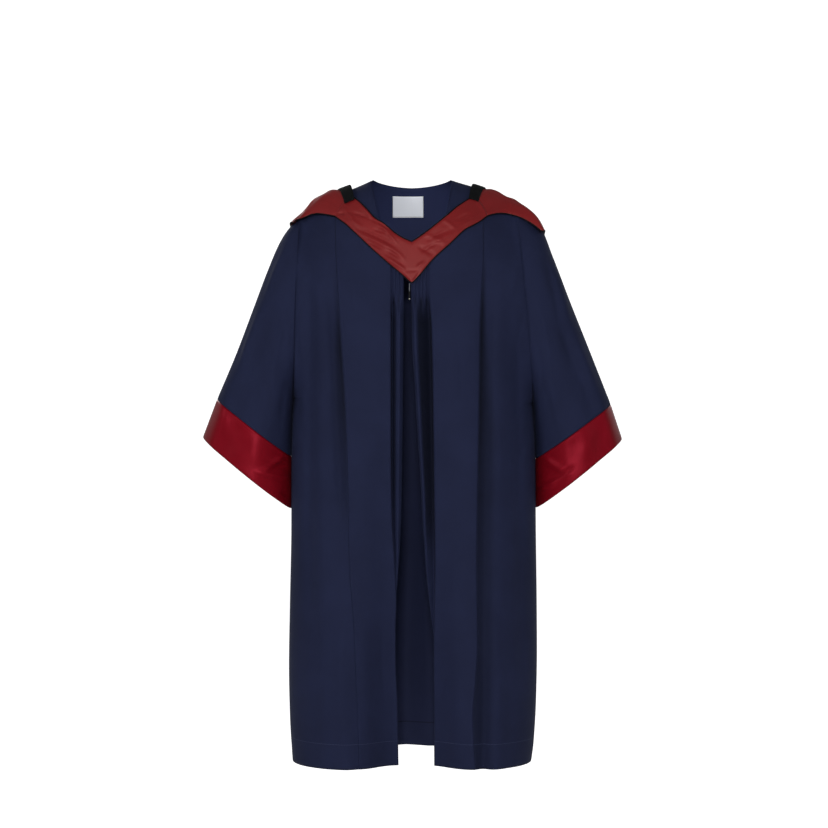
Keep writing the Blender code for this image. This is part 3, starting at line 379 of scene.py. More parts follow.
# Shoulder straps: "bend" is the angle round the shoulder, below 0 at the front
STRAP = Table(
    "place inner_out outer_out bend",
    (0, 0.1130, 0.1330, -0.80), (1, 0.1190, 0.1420, -0.40),
    (2, 0.1240, 0.1500, 0.00), (3, 0.1240, 0.1500, 0.55),
)
STRAP_CLEAR = {RIGHT: 0.0112, LEFT: 0.0072}  # how far a strap's outer face stands off the worn form
STRAP_EDGE_FALL = 0.0007
STRAP_END_FALL = 0.0006
STRAP_ROWS = 41
STRAP_COLUMNS = 15

LABEL = {"width": 0.065, "height": 0.043, "middle_x": -0.0084, "middle_drop": 0.0470, "off_back": 0.0030}
LABEL_SLACK = 0.0005
LABEL_ROWS = 24
LABEL_COLUMNS = 30

# Small creases. "out" and "drop" are where each starts and ends.
# "rise" is below 0 for a furrow.
CREASE_NAMES = "from_out from_drop to_out to_drop spread rise"
# A crease's bow, and the stretches where it rises and fades, all as shares of its length
CREASE_BOW = 0.03
CREASE_START = (-0.1, 0.35)
CREASE_END = (0.6, 1.1)
FRONT_CREASES = {
    RIGHT: (
        (0.236, 0.430, 0.196, 0.500, 0.0060, 0.0016),
        (0.238, 0.452, 0.205, 0.560, 0.0055, -0.0016),
        (0.232, 0.300, 0.214, 0.380, 0.0060, 0.0013),
        (0.170, 0.960, 0.186, 1.150, 0.0080, -0.0014),
        (0.214, 0.620, 0.226, 0.860, 0.0070, 0.0014),
        (0.128, 0.520, 0.136, 0.690, 0.0060, -0.0010),
        (0.196, 0.860, 0.205, 1.100, 0.0065, 0.0013),
        (0.060, 0.900, 0.052, 1.080, 0.0060, -0.0009),
        (0.112, 0.215, 0.118, 0.300, 0.0050, 0.0010),
        (0.178, 0.560, 0.169, 0.640, 0.0050, -0.0010),
    ),
    LEFT: (
        (0.240, 0.440, 0.200, 0.505, 0.0060, 0.0016),
        (0.243, 0.463, 0.214, 0.585, 0.0055, -0.0016),
        (0.226, 0.270, 0.206, 0.350, 0.0060, -0.0014),
        (0.215, 0.180, 0.196, 0.245, 0.0055, 0.0013),
        (0.160, 0.880, 0.174, 1.080, 0.0080, 0.0015),
        (0.222, 0.700, 0.234, 0.960, 0.0070, -0.0015),
        (0.168, 0.470, 0.176, 0.640, 0.0060, 0.0011),
        (0.190, 0.990, 0.196, 1.170, 0.0065, -0.0012),
        (0.072, 1.000, 0.062, 1.090, 0.0055, 0.0010),
        (0.090, 0.330, 0.096, 0.470, 0.0050, -0.0008),
    ),
}
BACK_CREASES = (
    (-0.236, 0.440, -0.200, 0.520, 0.0060, 0.0016),
    (-0.224, 0.300, -0.202, 0.410, 0.0070, -0.0015),
    (0.240, 0.450, 0.206, 0.545, 0.0060, 0.0016),
    (0.226, 0.290, 0.207, 0.375, 0.0070, -0.0014),
    (-0.170, 0.600, -0.164, 0.880, 0.0070, 0.0014),
    (-0.076, 0.700, -0.082, 0.930, 0.0070, -0.0013),
    (0.012, 0.560, 0.016, 0.790, 0.0065, -0.0013),
    (0.060, 0.760, 0.064, 1.050, 0.0070, 0.0014),
    (0.158, 0.640, 0.166, 0.840, 0.0065, -0.0013),
    (-0.030, 0.860, -0.034, 1.130, 0.0070, 0.0013),
    (0.208, 0.720, 0.214, 0.990, 0.0070, 0.0015),
    (-0.024, 1.008, 0.034, 0.994, 0.0045, 0.0009),
    (-0.012, 1.022, 0.038, 1.026, 0.0040, -0.0008),
)
SLEEVE_FRONT_CREASES = {
    RIGHT: (
        (0.242, 0.112, 0.299, 0.250, 0.0085, 0.0028),
        (0.299, 0.250, 0.350, 0.393, 0.0085, 0.0026),
        (0.258, 0.128, 0.316, 0.268, 0.0070, -0.0020),
        (0.316, 0.268, 0.366, 0.402, 0.0070, -0.0019),
        (0.262, 0.300, 0.286, 0.440, 0.0075, 0.0018),
        (0.250, 0.400, 0.268, 0.520, 0.0065, -0.0018),
        (0.296, 0.400, 0.318, 0.490, 0.0065, 0.0014),
        (0.246, 0.250, 0.262, 0.370, 0.0060, -0.0012),
    ),
    LEFT: (
        (0.272, 0.173, 0.301, 0.311, 0.0070, -0.0024),
        (0.301, 0.311, 0.331, 0.393, 0.0070, -0.0022),
        (0.331, 0.393, 0.362, 0.454, 0.0065, -0.0020),
        (0.288, 0.170, 0.318, 0.310, 0.0085, 0.0024),
        (0.318, 0.310, 0.378, 0.440, 0.0080, 0.0022),
        (0.256, 0.250, 0.284, 0.420, 0.0080, 0.0020),
        (0.262, 0.410, 0.292, 0.530, 0.0065, -0.0016),
        (0.253, 0.330, 0.262, 0.460, 0.0060, -0.0014),
    ),
}
SLEEVE_BACK_CREASES = {
    RIGHT: (
        (0.246, 0.130, 0.302, 0.285, 0.0085, 0.0026),
        (0.302, 0.285, 0.340, 0.430, 0.0080, 0.0022),
        (0.264, 0.170, 0.330, 0.330, 0.0070, -0.0018),
        (0.252, 0.330, 0.272, 0.500, 0.0070, -0.0018),
        (0.290, 0.360, 0.306, 0.480, 0.0065, 0.0014),
    ),
    LEFT: (
        (0.240, 0.110, 0.294, 0.260, 0.0085, 0.0024),
        (0.294, 0.260, 0.346, 0.410, 0.0080, 0.0024),
        (0.262, 0.140, 0.318, 0.290, 0.0070, -0.0020),
        (0.258, 0.310, 0.280, 0.470, 0.0070, -0.0018),
        (0.300, 0.390, 0.326, 0.500, 0.0065, 0.0015),
    ),
}
CUFF_FRONT_CREASES = {
    RIGHT: (
        (0.312, 0.604, 0.256, 0.562, 0.0050, 0.0040),
        (0.316, 0.600, 0.246, 0.612, 0.0050, 0.0044),
        (0.300, 0.585, 0.250, 0.588, 0.0060, -0.0040),
        (0.384, 0.462, 0.366, 0.545, 0.0130, 0.0018),
        (0.352, 0.500, 0.346, 0.560, 0.0130, -0.0016),
        (0.318, 0.520, 0.322, 0.590, 0.0130, 0.0014),
        (0.268, 0.640, 0.247, 0.652, 0.0060, -0.0024),
    ),
    LEFT: (
        (0.322, 0.606, 0.262, 0.566, 0.0052, 0.0036),
        (0.330, 0.590, 0.258, 0.620, 0.0050, -0.0036),
        (0.296, 0.618, 0.256, 0.640, 0.0050, 0.0036),
        (0.394, 0.478, 0.382, 0.548, 0.0130, -0.0014),
        (0.372, 0.500, 0.346, 0.575, 0.0130, 0.0014),
        (0.330, 0.530, 0.322, 0.590, 0.0120, -0.0012),
    ),
}
CUFF_BACK_CREASES = {
    RIGHT: (
        (0.310, 0.610, 0.254, 0.570, 0.0055, 0.0036),
        (0.300, 0.590, 0.248, 0.620, 0.0055, -0.0034),
        (0.376, 0.475, 0.364, 0.555, 0.0110, -0.0030),
        (0.342, 0.510, 0.340, 0.575, 0.0100, 0.0034),
    ),
    LEFT: (
        (0.318, 0.615, 0.264, 0.572, 0.0055, -0.0034),
        (0.312, 0.600, 0.258, 0.632, 0.0055, 0.0038),
        (0.388, 0.486, 0.378, 0.556, 0.0110, 0.0032),
        (0.350, 0.515, 0.352, 0.580, 0.0100, -0.0030),
    ),
}
# The hood's front runs from -X to +X, so "out" has its sign here.
HOOD_CREASES = (
    (-0.112, 0.109, -0.034, 0.145, 0.0040, -0.0017),
    (-0.100, 0.122, -0.046, 0.152, 0.0045, 0.0014),
    (-0.050, 0.153, -0.022, 0.170, 0.0034, -0.0013),
    (-0.152, 0.079, -0.120, 0.076, 0.0030, -0.0014),
    (-0.120, 0.076, -0.084, 0.089, 0.0030, -0.0015),
    (-0.084, 0.089, -0.024, 0.127, 0.0030, -0.0013),
    (-0.102, 0.062, -0.076, 0.092, 0.0040, 0.0012),
    (-0.066, 0.135, -0.012, 0.176, 0.0045, 0.0011),
    (0.030, 0.134, 0.078, 0.111, 0.0040, -0.0015),
    (0.040, 0.142, 0.088, 0.118, 0.0045, 0.0012),
    (0.018, 0.158, 0.056, 0.136, 0.0036, -0.0010),
    (0.086, 0.094, 0.118, 0.078, 0.0036, -0.0013),
    (0.098, 0.104, 0.132, 0.086, 0.0040, 0.0012),
    (-0.128, 0.090, -0.100, 0.106, 0.0036, 0.0010),
    (0.008, 0.190, 0.026, 0.178, 0.0034, 0.0009),
    (-0.030, 0.182, -0.012, 0.196, 0.0034, 0.0009),
    (-0.078, 0.112, -0.044, 0.118, 0.0032, -0.0016),
    (-0.070, 0.098, -0.030, 0.140, 0.0030, 0.0013),
    (-0.090, 0.136, -0.058, 0.150, 0.0034, -0.0015),
    (-0.058, 0.166, -0.020, 0.190, 0.0036, 0.0014),
    (-0.140, 0.066, -0.112, 0.098, 0.0040, 0.0015),
    (-0.196, 0.072, -0.160, 0.054, 0.0046, 0.0018),
    (-0.214, 0.090, -0.172, 0.078, 0.0042, -0.0016),
    (0.058, 0.090, 0.090, 0.112, 0.0034, 0.0014),
    (0.026, 0.122, 0.070, 0.142, 0.0036, 0.0015),
    (0.012, 0.146, 0.046, 0.166, 0.0034, -0.0014),
    (0.130, 0.050, 0.150, 0.082, 0.0042, 0.0015),
    (0.168, 0.048, 0.204, 0.078, 0.0046, 0.0017),
    (0.196, 0.066, 0.240, 0.100, 0.0044, -0.0016),
)
HOOD_CREASE_SIZE = 1.35
# The small stitched triangle at the V's tip
HOOD_TIP_SEAMS = (
    (-0.024, 0.197, 0.016, 0.195, 0.0016, -0.0012),
    (-0.024, 0.197, -0.002, 0.2200, 0.0016, -0.0012),
    (0.016, 0.195, -0.002, 0.2200, 0.0016, -0.0012),
)
# Folds of the hood's back, across the band (0 at its inner edge) along its way round (0 to 1)
HOOD_BACK_FOLDS = (
    (0.06, 0.20, 0.20, 0.75, 0.050, 0.0016),
    (0.10, 0.55, 0.24, 0.15, 0.040, -0.0014),
    (0.20, 0.62, 0.34, 0.30, 0.045, 0.0018),
    (0.30, 0.90, 0.44, 0.45, 0.045, -0.0016),
    (0.36, 0.28, 0.52, 0.62, 0.050, 0.0018),
    (0.46, 0.80, 0.62, 0.86, 0.040, -0.0014),
    (0.50, 0.30, 0.66, 0.24, 0.040, 0.0014),
    (0.58, 0.62, 0.74, 0.34, 0.045, -0.0016),
    (0.68, 0.78, 0.80, 0.42, 0.045, 0.0018),
    (0.78, 0.24, 0.92, 0.70, 0.045, -0.0015),
    (0.82, 0.60, 0.95, 0.18, 0.050, 0.0016),
)
HOOD_FOLD_SIZE = {"ridge": 2.8, "furrow": 0.6}
HOOD_EDGE_ROLL = 0.0009

# Rows and columns of the finished cloth
RING = 128
UPPER_ROWS = RING // 2
LOWER_ROWS = 84
GATHER_COLUMNS = 46
COVERED_COLUMNS = 5
UNDER_BAND_COLUMNS = 12
BAND_COLUMNS = 34
SIDE_COLUMNS = 44
NECK_COLUMNS = 9
BACK_COLUMNS = 44
SLEEVE_STEPS = 76
SLEEVE_STEP_GROWTH = 1.35
SLEEVE_FOLDS_GROW = (0.2, 0.6)
CUFF_STEPS = 31
# The cuff starts a little way up inside the sleeve's end, below the sleeve's wall.
CUFF_TUCK = {
    "shares": (-0.020, -0.010, 0.0, 0.012, 0.025, 0.045), "depth": 0.0022, "ends": (0.0020, 0.0038),
}
HOOD_COLUMNS = 36
HOOD_FRONT_STEPS = 64
HOOD_BACK_STEPS = 110
CLOTH = 0.0008  # thickness of the finished cloth
HEM = 0.050  # depth of the turned hem
INNER_HEM_LINE = {"half_width": 0.0014, "shade": 0.4}  # the turned hem's edge, seen on the inside
SEAM_SOFTNESS = 0.004  # how far beside a seam the cloth dips into it
SEAM_DIP = 0.0014
CUFF_SEAM_DIP = 0.4  # share of it that the sleeve dips at the cuff
CUFF_EDGE_DIP = 0.7  # share of it that the cuff dips at its own edge
HEM_DIP = 0.0005  # at the hem's row of stitches
HEM_DIP_SPREAD = 0.0016
BAND_LIFT = 0.0021  # how far the band's outer face stands off the panel
BAND_EDGE_FALL = 0.0011
BAND_EDGE_ROUND = 0.0028
UNEVENNESS = 0.00042
FLAT_AT_LINE = (0.004, 0.030)  # a tube's creases fade where its halves meet
BACK_SEAM_TOP = 0.08


def blend_in(value, first, last):
    """0 up to first, 1 from last on, smooth between."""
    t = np.clip((value - first) / (last - first), 0, 1)
    return t * t * (3 - 2 * t)


def bump(value, middle, spread):
    return np.exp(-(((value - middle) / spread) ** 2))


def shoulder_height(side, out):
    return SHOULDER[side].read("height", out)


def top_edge(side, out):
    """Drop of a front's top edge: the neckline, then the shoulder seam."""
    return np.where(out < NECK_HALF, NECKLINE.read("drop", out), -shoulder_height(side, out))


def armhole_half_depth(side, drop):
    top, pit = ARMHOLE[side]["top"], ARMHOLE[side]["pit"]
    place = (drop - (top + pit) / 2) / ((pit - top) / 2)
    return ARMHOLE_DEPTH * np.sqrt(np.clip(1 - place**2, 0, None))


def body_depth(side, out, drop, face):
    """Depth of the plain body form in front ("front") or behind ("back") at a place."""
    below = np.clip((drop + shoulder_height(side, out)) / SHOULDER_ROUND, 0, 1)
    full = BODY_DEPTH.read(face, drop) * np.sqrt(1 - (1 - below) ** 2)
    if face == "front":
        fall, start = OPENING_FALL, OPENING_FALL["from_drop"]
        down = np.clip((drop - start) / (LENGTH - start), 0, 1) ** fall["growth"]
        beside = bump(np.clip(out, fall["middle"], None), fall["middle"], fall["spread"])
        full = full * (1 - fall["share"] * down * beside)
    share = np.clip(np.abs(out) / SIDE_LINE[side].read("out", drop), 0, 1)
    near_side = share**NEAR_SIDE
    top, pit = ARMHOLE[side]["top"], ARMHOLE[side]["pit"]
    fade_in = blend_in(drop - top, *ARMHOLE_FADE["top"])
    soft = fade_in * (1 - blend_in(drop - pit, *ARMHOLE_FADE["pit"]))
    edge = near_side * armhole_half_depth(side, drop) + (1 - near_side) * ARMHOLE_DEPTH * soft
    power = 1 - (1 - 1 / BODY_CORNER) * blend_in(drop, *SIDES_ROUND)
    return edge + (full - edge) * (1 - share**BODY_CORNER) ** power


def long_folds(rows, out, drop, fade):
    total = np.zeros_like(out)
    for row in rows:
        fold = dict(zip(FOLD_NAMES.split(), row))
        run = (drop - fold["top_drop"]) / (fold["bottom_drop"] - fold["top_drop"])
        middle = fold["top_out"] + run * (fold["bottom_out"] - fold["top_out"])
        shown = blend_in(drop, fold["top_drop"], fold["top_drop"] + fade)
        if fold["bottom_drop"] < LENGTH:
            shown = shown * (1 - blend_in(drop, fold["bottom_drop"] - fade, fold["bottom_drop"]))
        total = total + fold["rise"] * shown * bump(out, middle, fold["spread"])
    return total


def seam_hollow(hollow, size, across, place, drop):
    """One hollow at the gathers' seam, or its shade."""
    shape = bump(across, place, hollow["width"]) * bump(drop, hollow["drop"], hollow["height"])
    return hollow[size] * shape


def gathers(side, out, drop):
    """The gathered cloth's rolls, its rolled edge and the small pressed pleats above their seam."""
    edge = GATHERED_EDGE[side].read("out", drop)
    band = BAND[side].read("inner", drop)
    across = (out - edge) / np.clip(band - edge, LEAST_WIDTH, None)
    roll = ROLLS[side]
    size = np.clip((band - edge) / roll["full_width"], 0, 1) * blend_in(drop, *GATHERS_TOP)
    hollow = blend_in(across, roll["hollow"], roll["hollow"] + roll["slope"])
    hollow = hollow * (1 - blend_in(across, *GATHERS_END))
    total = roll["rise"] * bump(across, roll["ridge"], roll["spread"]) - roll["fall"] * hollow
    total = total - ROLLED_EDGE["fall"] * np.clip(1 - across / ROLLED_EDGE["width"], 0, 1) ** 2
    for place in SEAM_HOLLOWS[side]:
        total = total - seam_hollow(SEAM_HOLLOW, "fall", across, place, drop)
    pleated = blend_in(drop, PLEAT["first_drop"], PLEAT["first_drop"] + PLEAT["grow"])
    pleated = pleated * (1 - blend_in(drop, PLEAT["seam_drop"], PLEAT["seam_drop"] + PLEAT["fade"]))
    pleated = pleated * (1 - blend_in(across, *PLEAT["ends"]))
    wave = np.cos(2 * math.pi * (band - out) / PLEAT["pitch"])
    return total * size * (across < GATHERS_LIMIT) + PLEAT["rise"] * pleated * wave


def deep_shade(side, out, drop):
    """How much of the light a front's deep folds keep out, 0 on open cloth."""
    edge = GATHERED_EDGE[side].read("out", drop)
    band = BAND[side].read("inner", drop)
    across = (out - edge) / np.clip(band - edge, LEAST_WIDTH, None)
    roll = ROLLS[side]
    place = HOLLOW_SHADE_PLACE
    gathered = blend_in(across - roll["hollow"], *place["start"]) * (1 - blend_in(across, *place["end"]))
    gathered = gathered * blend_in(drop, *place["top"]) * (1 - blend_in(drop, *HOLLOW_SHADE[side]["ends"]))
    total = HOLLOW_SHADE[side]["depth"] * gathered
    for place in SEAM_HOLLOWS[side]:
        total = total + seam_hollow(SEAM_HOLLOW_SHADE, "depth", across, place, drop)
    strip = STRIP_SHADE[side]
    crease = BAND[side].read("crease", drop)
    width = strip.read("width", drop)
    beside = np.clip((out - crease) / width, -0.2, None)
    shape = blend_in(beside, *STRIP_GROW) * (1 - blend_in(beside, *STRIP_FADE))
    total = total + strip.read("depth", drop) * shape
    line = bump(out - crease, CREASE_SHADE_LINE["out"], CREASE_SHADE_LINE["spread"])
    return total + CREASE_SHADE_LINE["share"] * strip.read("depth", drop) * line


def back_shade(points):
    """The shade in the troughs between the back's folds."""
    folds = long_folds(BACK_FOLDS, points[..., 0], -points[..., 2], BACK_FOLD_FADE)
    return BACK_TROUGH["shade"] * np.clip(-folds / BACK_TROUGH["full"], 0, 1)


def row_drops(top, pit):
    """Drops down one column: round the shoulder and armhole as the sleeve's ring goes, then to the hem."""
    turns = np.linspace(0, math.pi, UPPER_ROWS + 1)
    lower = np.linspace(pit, LENGTH, LOWER_ROWS + 1)
    return np.concatenate([top + (pit - top) * (1 - np.cos(turns)) / 2, lower[1:]])


def plan_shares(count, first):
    """Shares of the half width, from a first one to 1, evenly spaced round the body's plan curve."""
    share = np.linspace(0, 1, 2001)
    depth = PLAN_DEPTH * (1 - share**BODY_CORNER) ** (1 / BODY_CORNER)
    length = np.concatenate([[0], np.cumsum(np.hypot(np.diff(share), np.diff(depth)))])
    even = np.linspace(np.interp(first, share, length), length[-1], count + 1)
    return np.interp(even, length, share)


def grid(columns, point):
    """Rows by columns of points, from the (out, drop) of each column."""
    out = np.stack([column[0] for column in columns], 1)
    drop = np.stack([column[1] for column in columns], 1)
    return point(out, drop)


def gathered_end(side, drop):
    """Where the gathered cloth's fine columns end: at the band's edge, or just under the band low down."""
    return np.maximum(BAND[side].read("inner", drop), GATHERED_EDGE[side].read("out", drop) + LEAST_GATHER)


def normals(points, flip, ring=False):
    """Unit normals of a grid. A ring grid closes from its last column to its first."""
    down = np.gradient(points, axis=0)
    if ring:
        across = (np.roll(points, -1, 1) - np.roll(points, 1, 1)) / 2
    else:
        across = np.gradient(points, axis=1)
    normal = unit(np.cross(across, down))
    return -normal if flip else normal


def unit(vectors):
    return vectors / np.linalg.norm(vectors, axis=-1, keepdims=True)


def seam_dip(distance):
    """How far the cloth dips beside a seam or a turned edge that is a distance away."""
    return SEAM_DIP * np.clip(1 - np.abs(distance) / SEAM_SOFTNESS, 0, 1) ** 2


def creases(rows, out, drop):
    """Listed ridges and furrows, each fading out at both its ends."""
    total = np.zeros_like(out)
    for row in rows:
        crease = dict(zip(CREASE_NAMES.split(), row))
        run = np.array([crease["to_out"] - crease["from_out"], crease["to_drop"] - crease["from_drop"]])
        length = np.hypot(*run)
        way = run / length
        along = (out - crease["from_out"]) * way[0] + (drop - crease["from_drop"]) * way[1]
        off = (out - crease["from_out"]) * way[1] - (drop - crease["from_drop"]) * way[0]
        bowed = off - CREASE_BOW * length * np.sin(math.pi * np.clip(along / length, 0, 1))
        start = blend_in(along / length, *CREASE_START)
        end = 1 - blend_in(along / length, *CREASE_END)
        total = total + crease["rise"] * start * end * bump(bowed, 0, crease["spread"])
    return total


def unevenness(out, drop, seed):
    """The slight waviness of pressed cloth, longer down the piece than across it."""
    total = np.zeros_like(out)
    for i in range(1, 6):
        across = 2 * math.pi / (0.030 + 0.017 * i)
        down = 2 * math.pi / (0.21 + 0.09 * ((i * 5 + seed) % 4))
        total = total + np.sin(across * out + 2.4 * i * seed + 1.3 * np.sin(down * drop + i)) / (i + 1)
    return UNEVENNESS * total


def front_surface(side, out, drop):
    edge = SIDE_LINE[side].read("out", drop)
    fade = 1 - blend_in(out, edge - 0.012, edge)
    depth = body_depth(side, out, drop, "front")
    folds = long_folds(FRONT_FOLDS[side], out, drop, FOLD_FADE) + gathers(side, out, drop)
    small = creases(FRONT_CREASES[side], out, drop) + unevenness(out, drop, 2 + side)
    on_top = blend_in(drop + shoulder_height(side, out), 0, 0.03)
    depth = depth + fade * (folds + small * on_top)
    depth = depth - seam_dip(edge - out) * (drop > ARMHOLE[side]["top"])
    depth = depth - HEM_DIP * bump(LENGTH - drop, HEM, HEM_DIP_SPREAD)
    return np.stack([side * out, -np.clip(depth, 0, None), -drop], -1)


def back_surface(x, drop):
    out = np.abs(x)
    depth = np.where(x < 0, *[body_depth(side, out, drop, "back") for side in (RIGHT, LEFT)])
    edge = np.where(x < 0, SIDE_LINE[RIGHT].read("out", drop), SIDE_LINE[LEFT].read("out", drop))
    height = np.where(x < 0, shoulder_height(RIGHT, out), shoulder_height(LEFT, out))
    fade = 1 - blend_in(out, edge - 0.02, edge)
    folds = BACK_FOLD_SIZE * long_folds(BACK_FOLDS, x, drop, BACK_FOLD_FADE)
    small = creases(BACK_CREASES, x, drop) + unevenness(x, drop, 5)
    depth = depth + fade * (folds + small * blend_in(drop + height, 0, 0.03))
    depth = depth - seam_dip(edge - out) * (drop > BACK_SEAM_TOP)
    depth = depth - HEM_DIP * bump(LENGTH - drop, HEM, HEM_DIP_SPREAD)
    return np.stack([x, np.clip(depth, 0, None), -drop], -1)


def front_column(side, out_at):
    """(out, drop) down a column whose distance out is out_at(drop). Its top settles on the top edge."""
    top = np.float64(0.1)
    for _ in range(40):
        top = (top + top_edge(side, out_at(top))) / 2
    drops = row_drops(top, ARMHOLE[side]["pit"])
    return out_at(drops), drops


def between(first, last):
    """Lines between two lines down a front, by their share of the way. A line gives out at a drop."""
    return lambda share: lambda drop: first(drop) + share * (last(drop) - first(drop))


def front_lines(side):
    """A front's dividing lines: its edge, the gathers' end, the covered cloth's end, the crease, the side."""
    band, gathered_edge = BAND[side], GATHERED_EDGE[side]
    return (
        lambda drop: gathered_edge.read("out", drop),
        lambda drop: gathered_end(side, drop),
        lambda drop: band.read("inner", drop) + COVERED,
        lambda drop: band.read("crease", drop),
        lambda drop: SIDE_LINE[side].read("out", drop),
    )


def columns_of(side, counts, lines):
    columns = [front_column(side, lines[0])]
    for first, last, count in zip(lines, lines[1:], counts):
        line = between(first, last)
        columns += [front_column(side, line(share)) for share in np.linspace(0, 1, count + 1)[1:]]
    return columns


def front_grid(side):
    edge, gathered, covered, crease, outer = front_lines(side)
    counts = (GATHER_COLUMNS, COVERED_COLUMNS, UNDER_BAND_COLUMNS)
    columns = columns_of(side, counts, (edge, gathered, covered, crease))
    side_out = SIDE_LINE[side].read("out", LENGTH / 2)
    along = plan_shares(SIDE_COLUMNS, BAND[side].read("crease", LENGTH / 2) / side_out)
    beside = between(crease, outer)
    shares = (along - along[0]) / (1 - along[0])
    columns += [front_column(side, beside(share)) for share in shares[1:]]
    return grid(columns, lambda out, drop: front_surface(side, out, drop))


def facing_grid(side):
    """The band, lying on the panel and turned down to it along both its edges, with its first rows."""

    def inner(drop):
        return BAND[side].read("inner", drop)

    def crease(drop):
        return BAND[side].read("crease", drop)

    columns = columns_of(side, (BAND_COLUMNS,), (inner, crease))
    points = grid(columns, lambda out, drop: front_surface(side, out, drop))
    out, drop = np.abs(points[..., 0]), -points[..., 2]
    near_edge = np.minimum(out - inner(drop), crease(drop) - out)
    lift = BAND_LIFT - BAND_EDGE_FALL * np.clip(1 - near_edge / BAND_EDGE_ROUND, 0, 1) ** 2
    hidden = BAND_TOP["drop_at_middle"] - BAND_TOP["slope"] * out
    first_rows = np.argmin(np.abs(drop - hidden), axis=0)
    return points + lift[..., None] * normals(points, side == LEFT), first_rows


def back_grid():
    columns = []
    for side in (RIGHT, LEFT):
        start = NECK_HALF / SIDE_LINE[side].read("out", 0.0)
        shares = np.concatenate([np.linspace(0, start, NECK_COLUMNS)[:-1], plan_shares(BACK_COLUMNS, start)])
        for share in shares[side == LEFT :]:
            at_top = share * SIDE_LINE[side].read("out", 0.0)
            dip = BACK_NECK_DIP * (1 - (at_top / NECK_HALF) ** 2)
            top = np.where(at_top < NECK_HALF, dip, -shoulder_height(side, at_top))
            top = np.where(share == 1, ARMHOLE[side]["top"], top)
            drops = row_drops(top, ARMHOLE[side]["pit"])
            columns.append((side * share * SIDE_LINE[side].read("out", drops), drops))
    columns.sort(key=lambda column: column[0][0])
    return grid(columns, back_surface)


def sleeve_ring(side, row, folded):
    """One ring of the sleeve from its outer and underarm points, half depth and sag."""
    turn = np.arange(RING) * 2 * math.pi / RING
    down = (1 - np.cos(turn)) / 2
    out = row["outer_out"] + (row["under_out"] - row["outer_out"]) * down
    drop = row["outer_drop"] + (row["under_drop"] - row["outer_drop"]) * down
    slope = np.array([row["under_out"] - row["outer_out"], row["under_drop"] - row["outer_drop"]])
    away = np.array([slope[1], -slope[0]]) / np.linalg.norm(slope)
    sag = row["sag"] * np.abs(np.sin(turn)) ** 0.7
    depth = row["depth"] * np.abs(np.sin(turn))
    for fold in SLEEVE_FOLDS:
        depth = depth + folded * fold["rise"] * bump(np.degrees(turn), fold["turn"], fold["spread"])
    front = np.sign(np.round(np.sin(turn), 6))
    return np.stack([side * (out + sag * away[0]), -front * depth, -(drop + sag * away[1])], -1)


def armhole_ring(side):
    """The sleeve's first ring, which follows the body's armhole edge."""
    turn = np.arange(RING) * 2 * math.pi / RING
    top, pit = ARMHOLE[side]["top"], ARMHOLE[side]["pit"]
    drop = top + (pit - top) * (1 - np.cos(turn)) / 2
    return np.stack([side * SIDE_LINE[side].read("out", drop), -ARMHOLE_DEPTH * np.sin(turn), -drop], -1)


def sleeve_row(side, along):
    names = SLEEVE_NAMES.split()[1:]
    return {name: SLEEVE[side].read(name, along) for name in names}


def crease_rise(points, side, front_rows, back_rows):
    """How far the creases of its front and its back move a tube's cloth out."""
    out, drop = np.abs(points[..., 0]), -points[..., 2]
    rise = np.where(points[..., 1] < 0, creases(front_rows, out, drop), creases(back_rows, out, drop))
    return (rise + unevenness(out, drop, 4 + side)) * blend_in(np.abs(points[..., 1]), *FLAT_AT_LINE)


def down_lengths(points):
    """Distance down each column from its first row."""
    steps = np.linalg.norm(np.diff(points, axis=0), axis=-1)
    return np.concatenate([np.zeros((1, points.shape[1])), np.cumsum(steps, axis=0)])


def sleeve_grid(side):
    rings = [armhole_ring(side)]
    for step in range(1, SLEEVE_STEPS + 1):
        along = (step / SLEEVE_STEPS) ** SLEEVE_STEP_GROWTH
        rings.append(sleeve_ring(side, sleeve_row(side, along), blend_in(along, *SLEEVE_FOLDS_GROW)))
    points = np.array(rings)
    rise = crease_rise(points, side, SLEEVE_FRONT_CREASES[side], SLEEVE_BACK_CREASES[side])
    from_seam = down_lengths(points)
    to_cuff = from_seam[-1] - from_seam
    rise = rise * blend_in(from_seam, 0.0, 0.03) * blend_in(to_cuff, 0.0, 0.02)
    rise = rise - seam_dip(from_seam) - CUFF_SEAM_DIP * seam_dip(to_cuff)
    return points + rise[..., None] * normals(points, side == RIGHT, True)


def cuff_grid(side):
    top = sleeve_row(side, 1.0)
    end = dict(CUFF_END[side], depth=CUFF_END_DEPTH, sag=CUFF_END_SAG)
    rings = []
    for share in np.concatenate([CUFF_TUCK["shares"], np.linspace(0.07, 1, CUFF_STEPS)]):
        row = {name: top[name] + share * (end[name] - top[name]) for name in top}
        rings.append(sleeve_ring(side, row, 1.0))
    points = np.array(rings)
    rise = crease_rise(points, side, CUFF_FRONT_CREASES[side], CUFF_BACK_CREASES[side])
    from_seam = down_lengths(points)
    tucked = CUFF_TUCK["depth"] * (1 - blend_in(from_seam, *CUFF_TUCK["ends"]))
    edge_dip = CUFF_EDGE_DIP * seam_dip(from_seam[-1] - from_seam)
    rise = rise * blend_in(from_seam, 0.002, 0.02) - tucked - edge_dip
    return points + rise[..., None] * normals(points, side == RIGHT, True)


def bend_at(side, out, signed_drop):
    """Angle round the shoulder at a place: 0 on the shoulder line, below 0 in front, above 0 behind."""
    below = (np.abs(signed_drop) + shoulder_height(side, out)) / SHOULDER_ROUND
    angle = np.where(below < 1, np.arccos(np.clip(1 - below, -1, 1)), math.pi / 2 + below - 1)
    return -np.sign(signed_drop) * angle


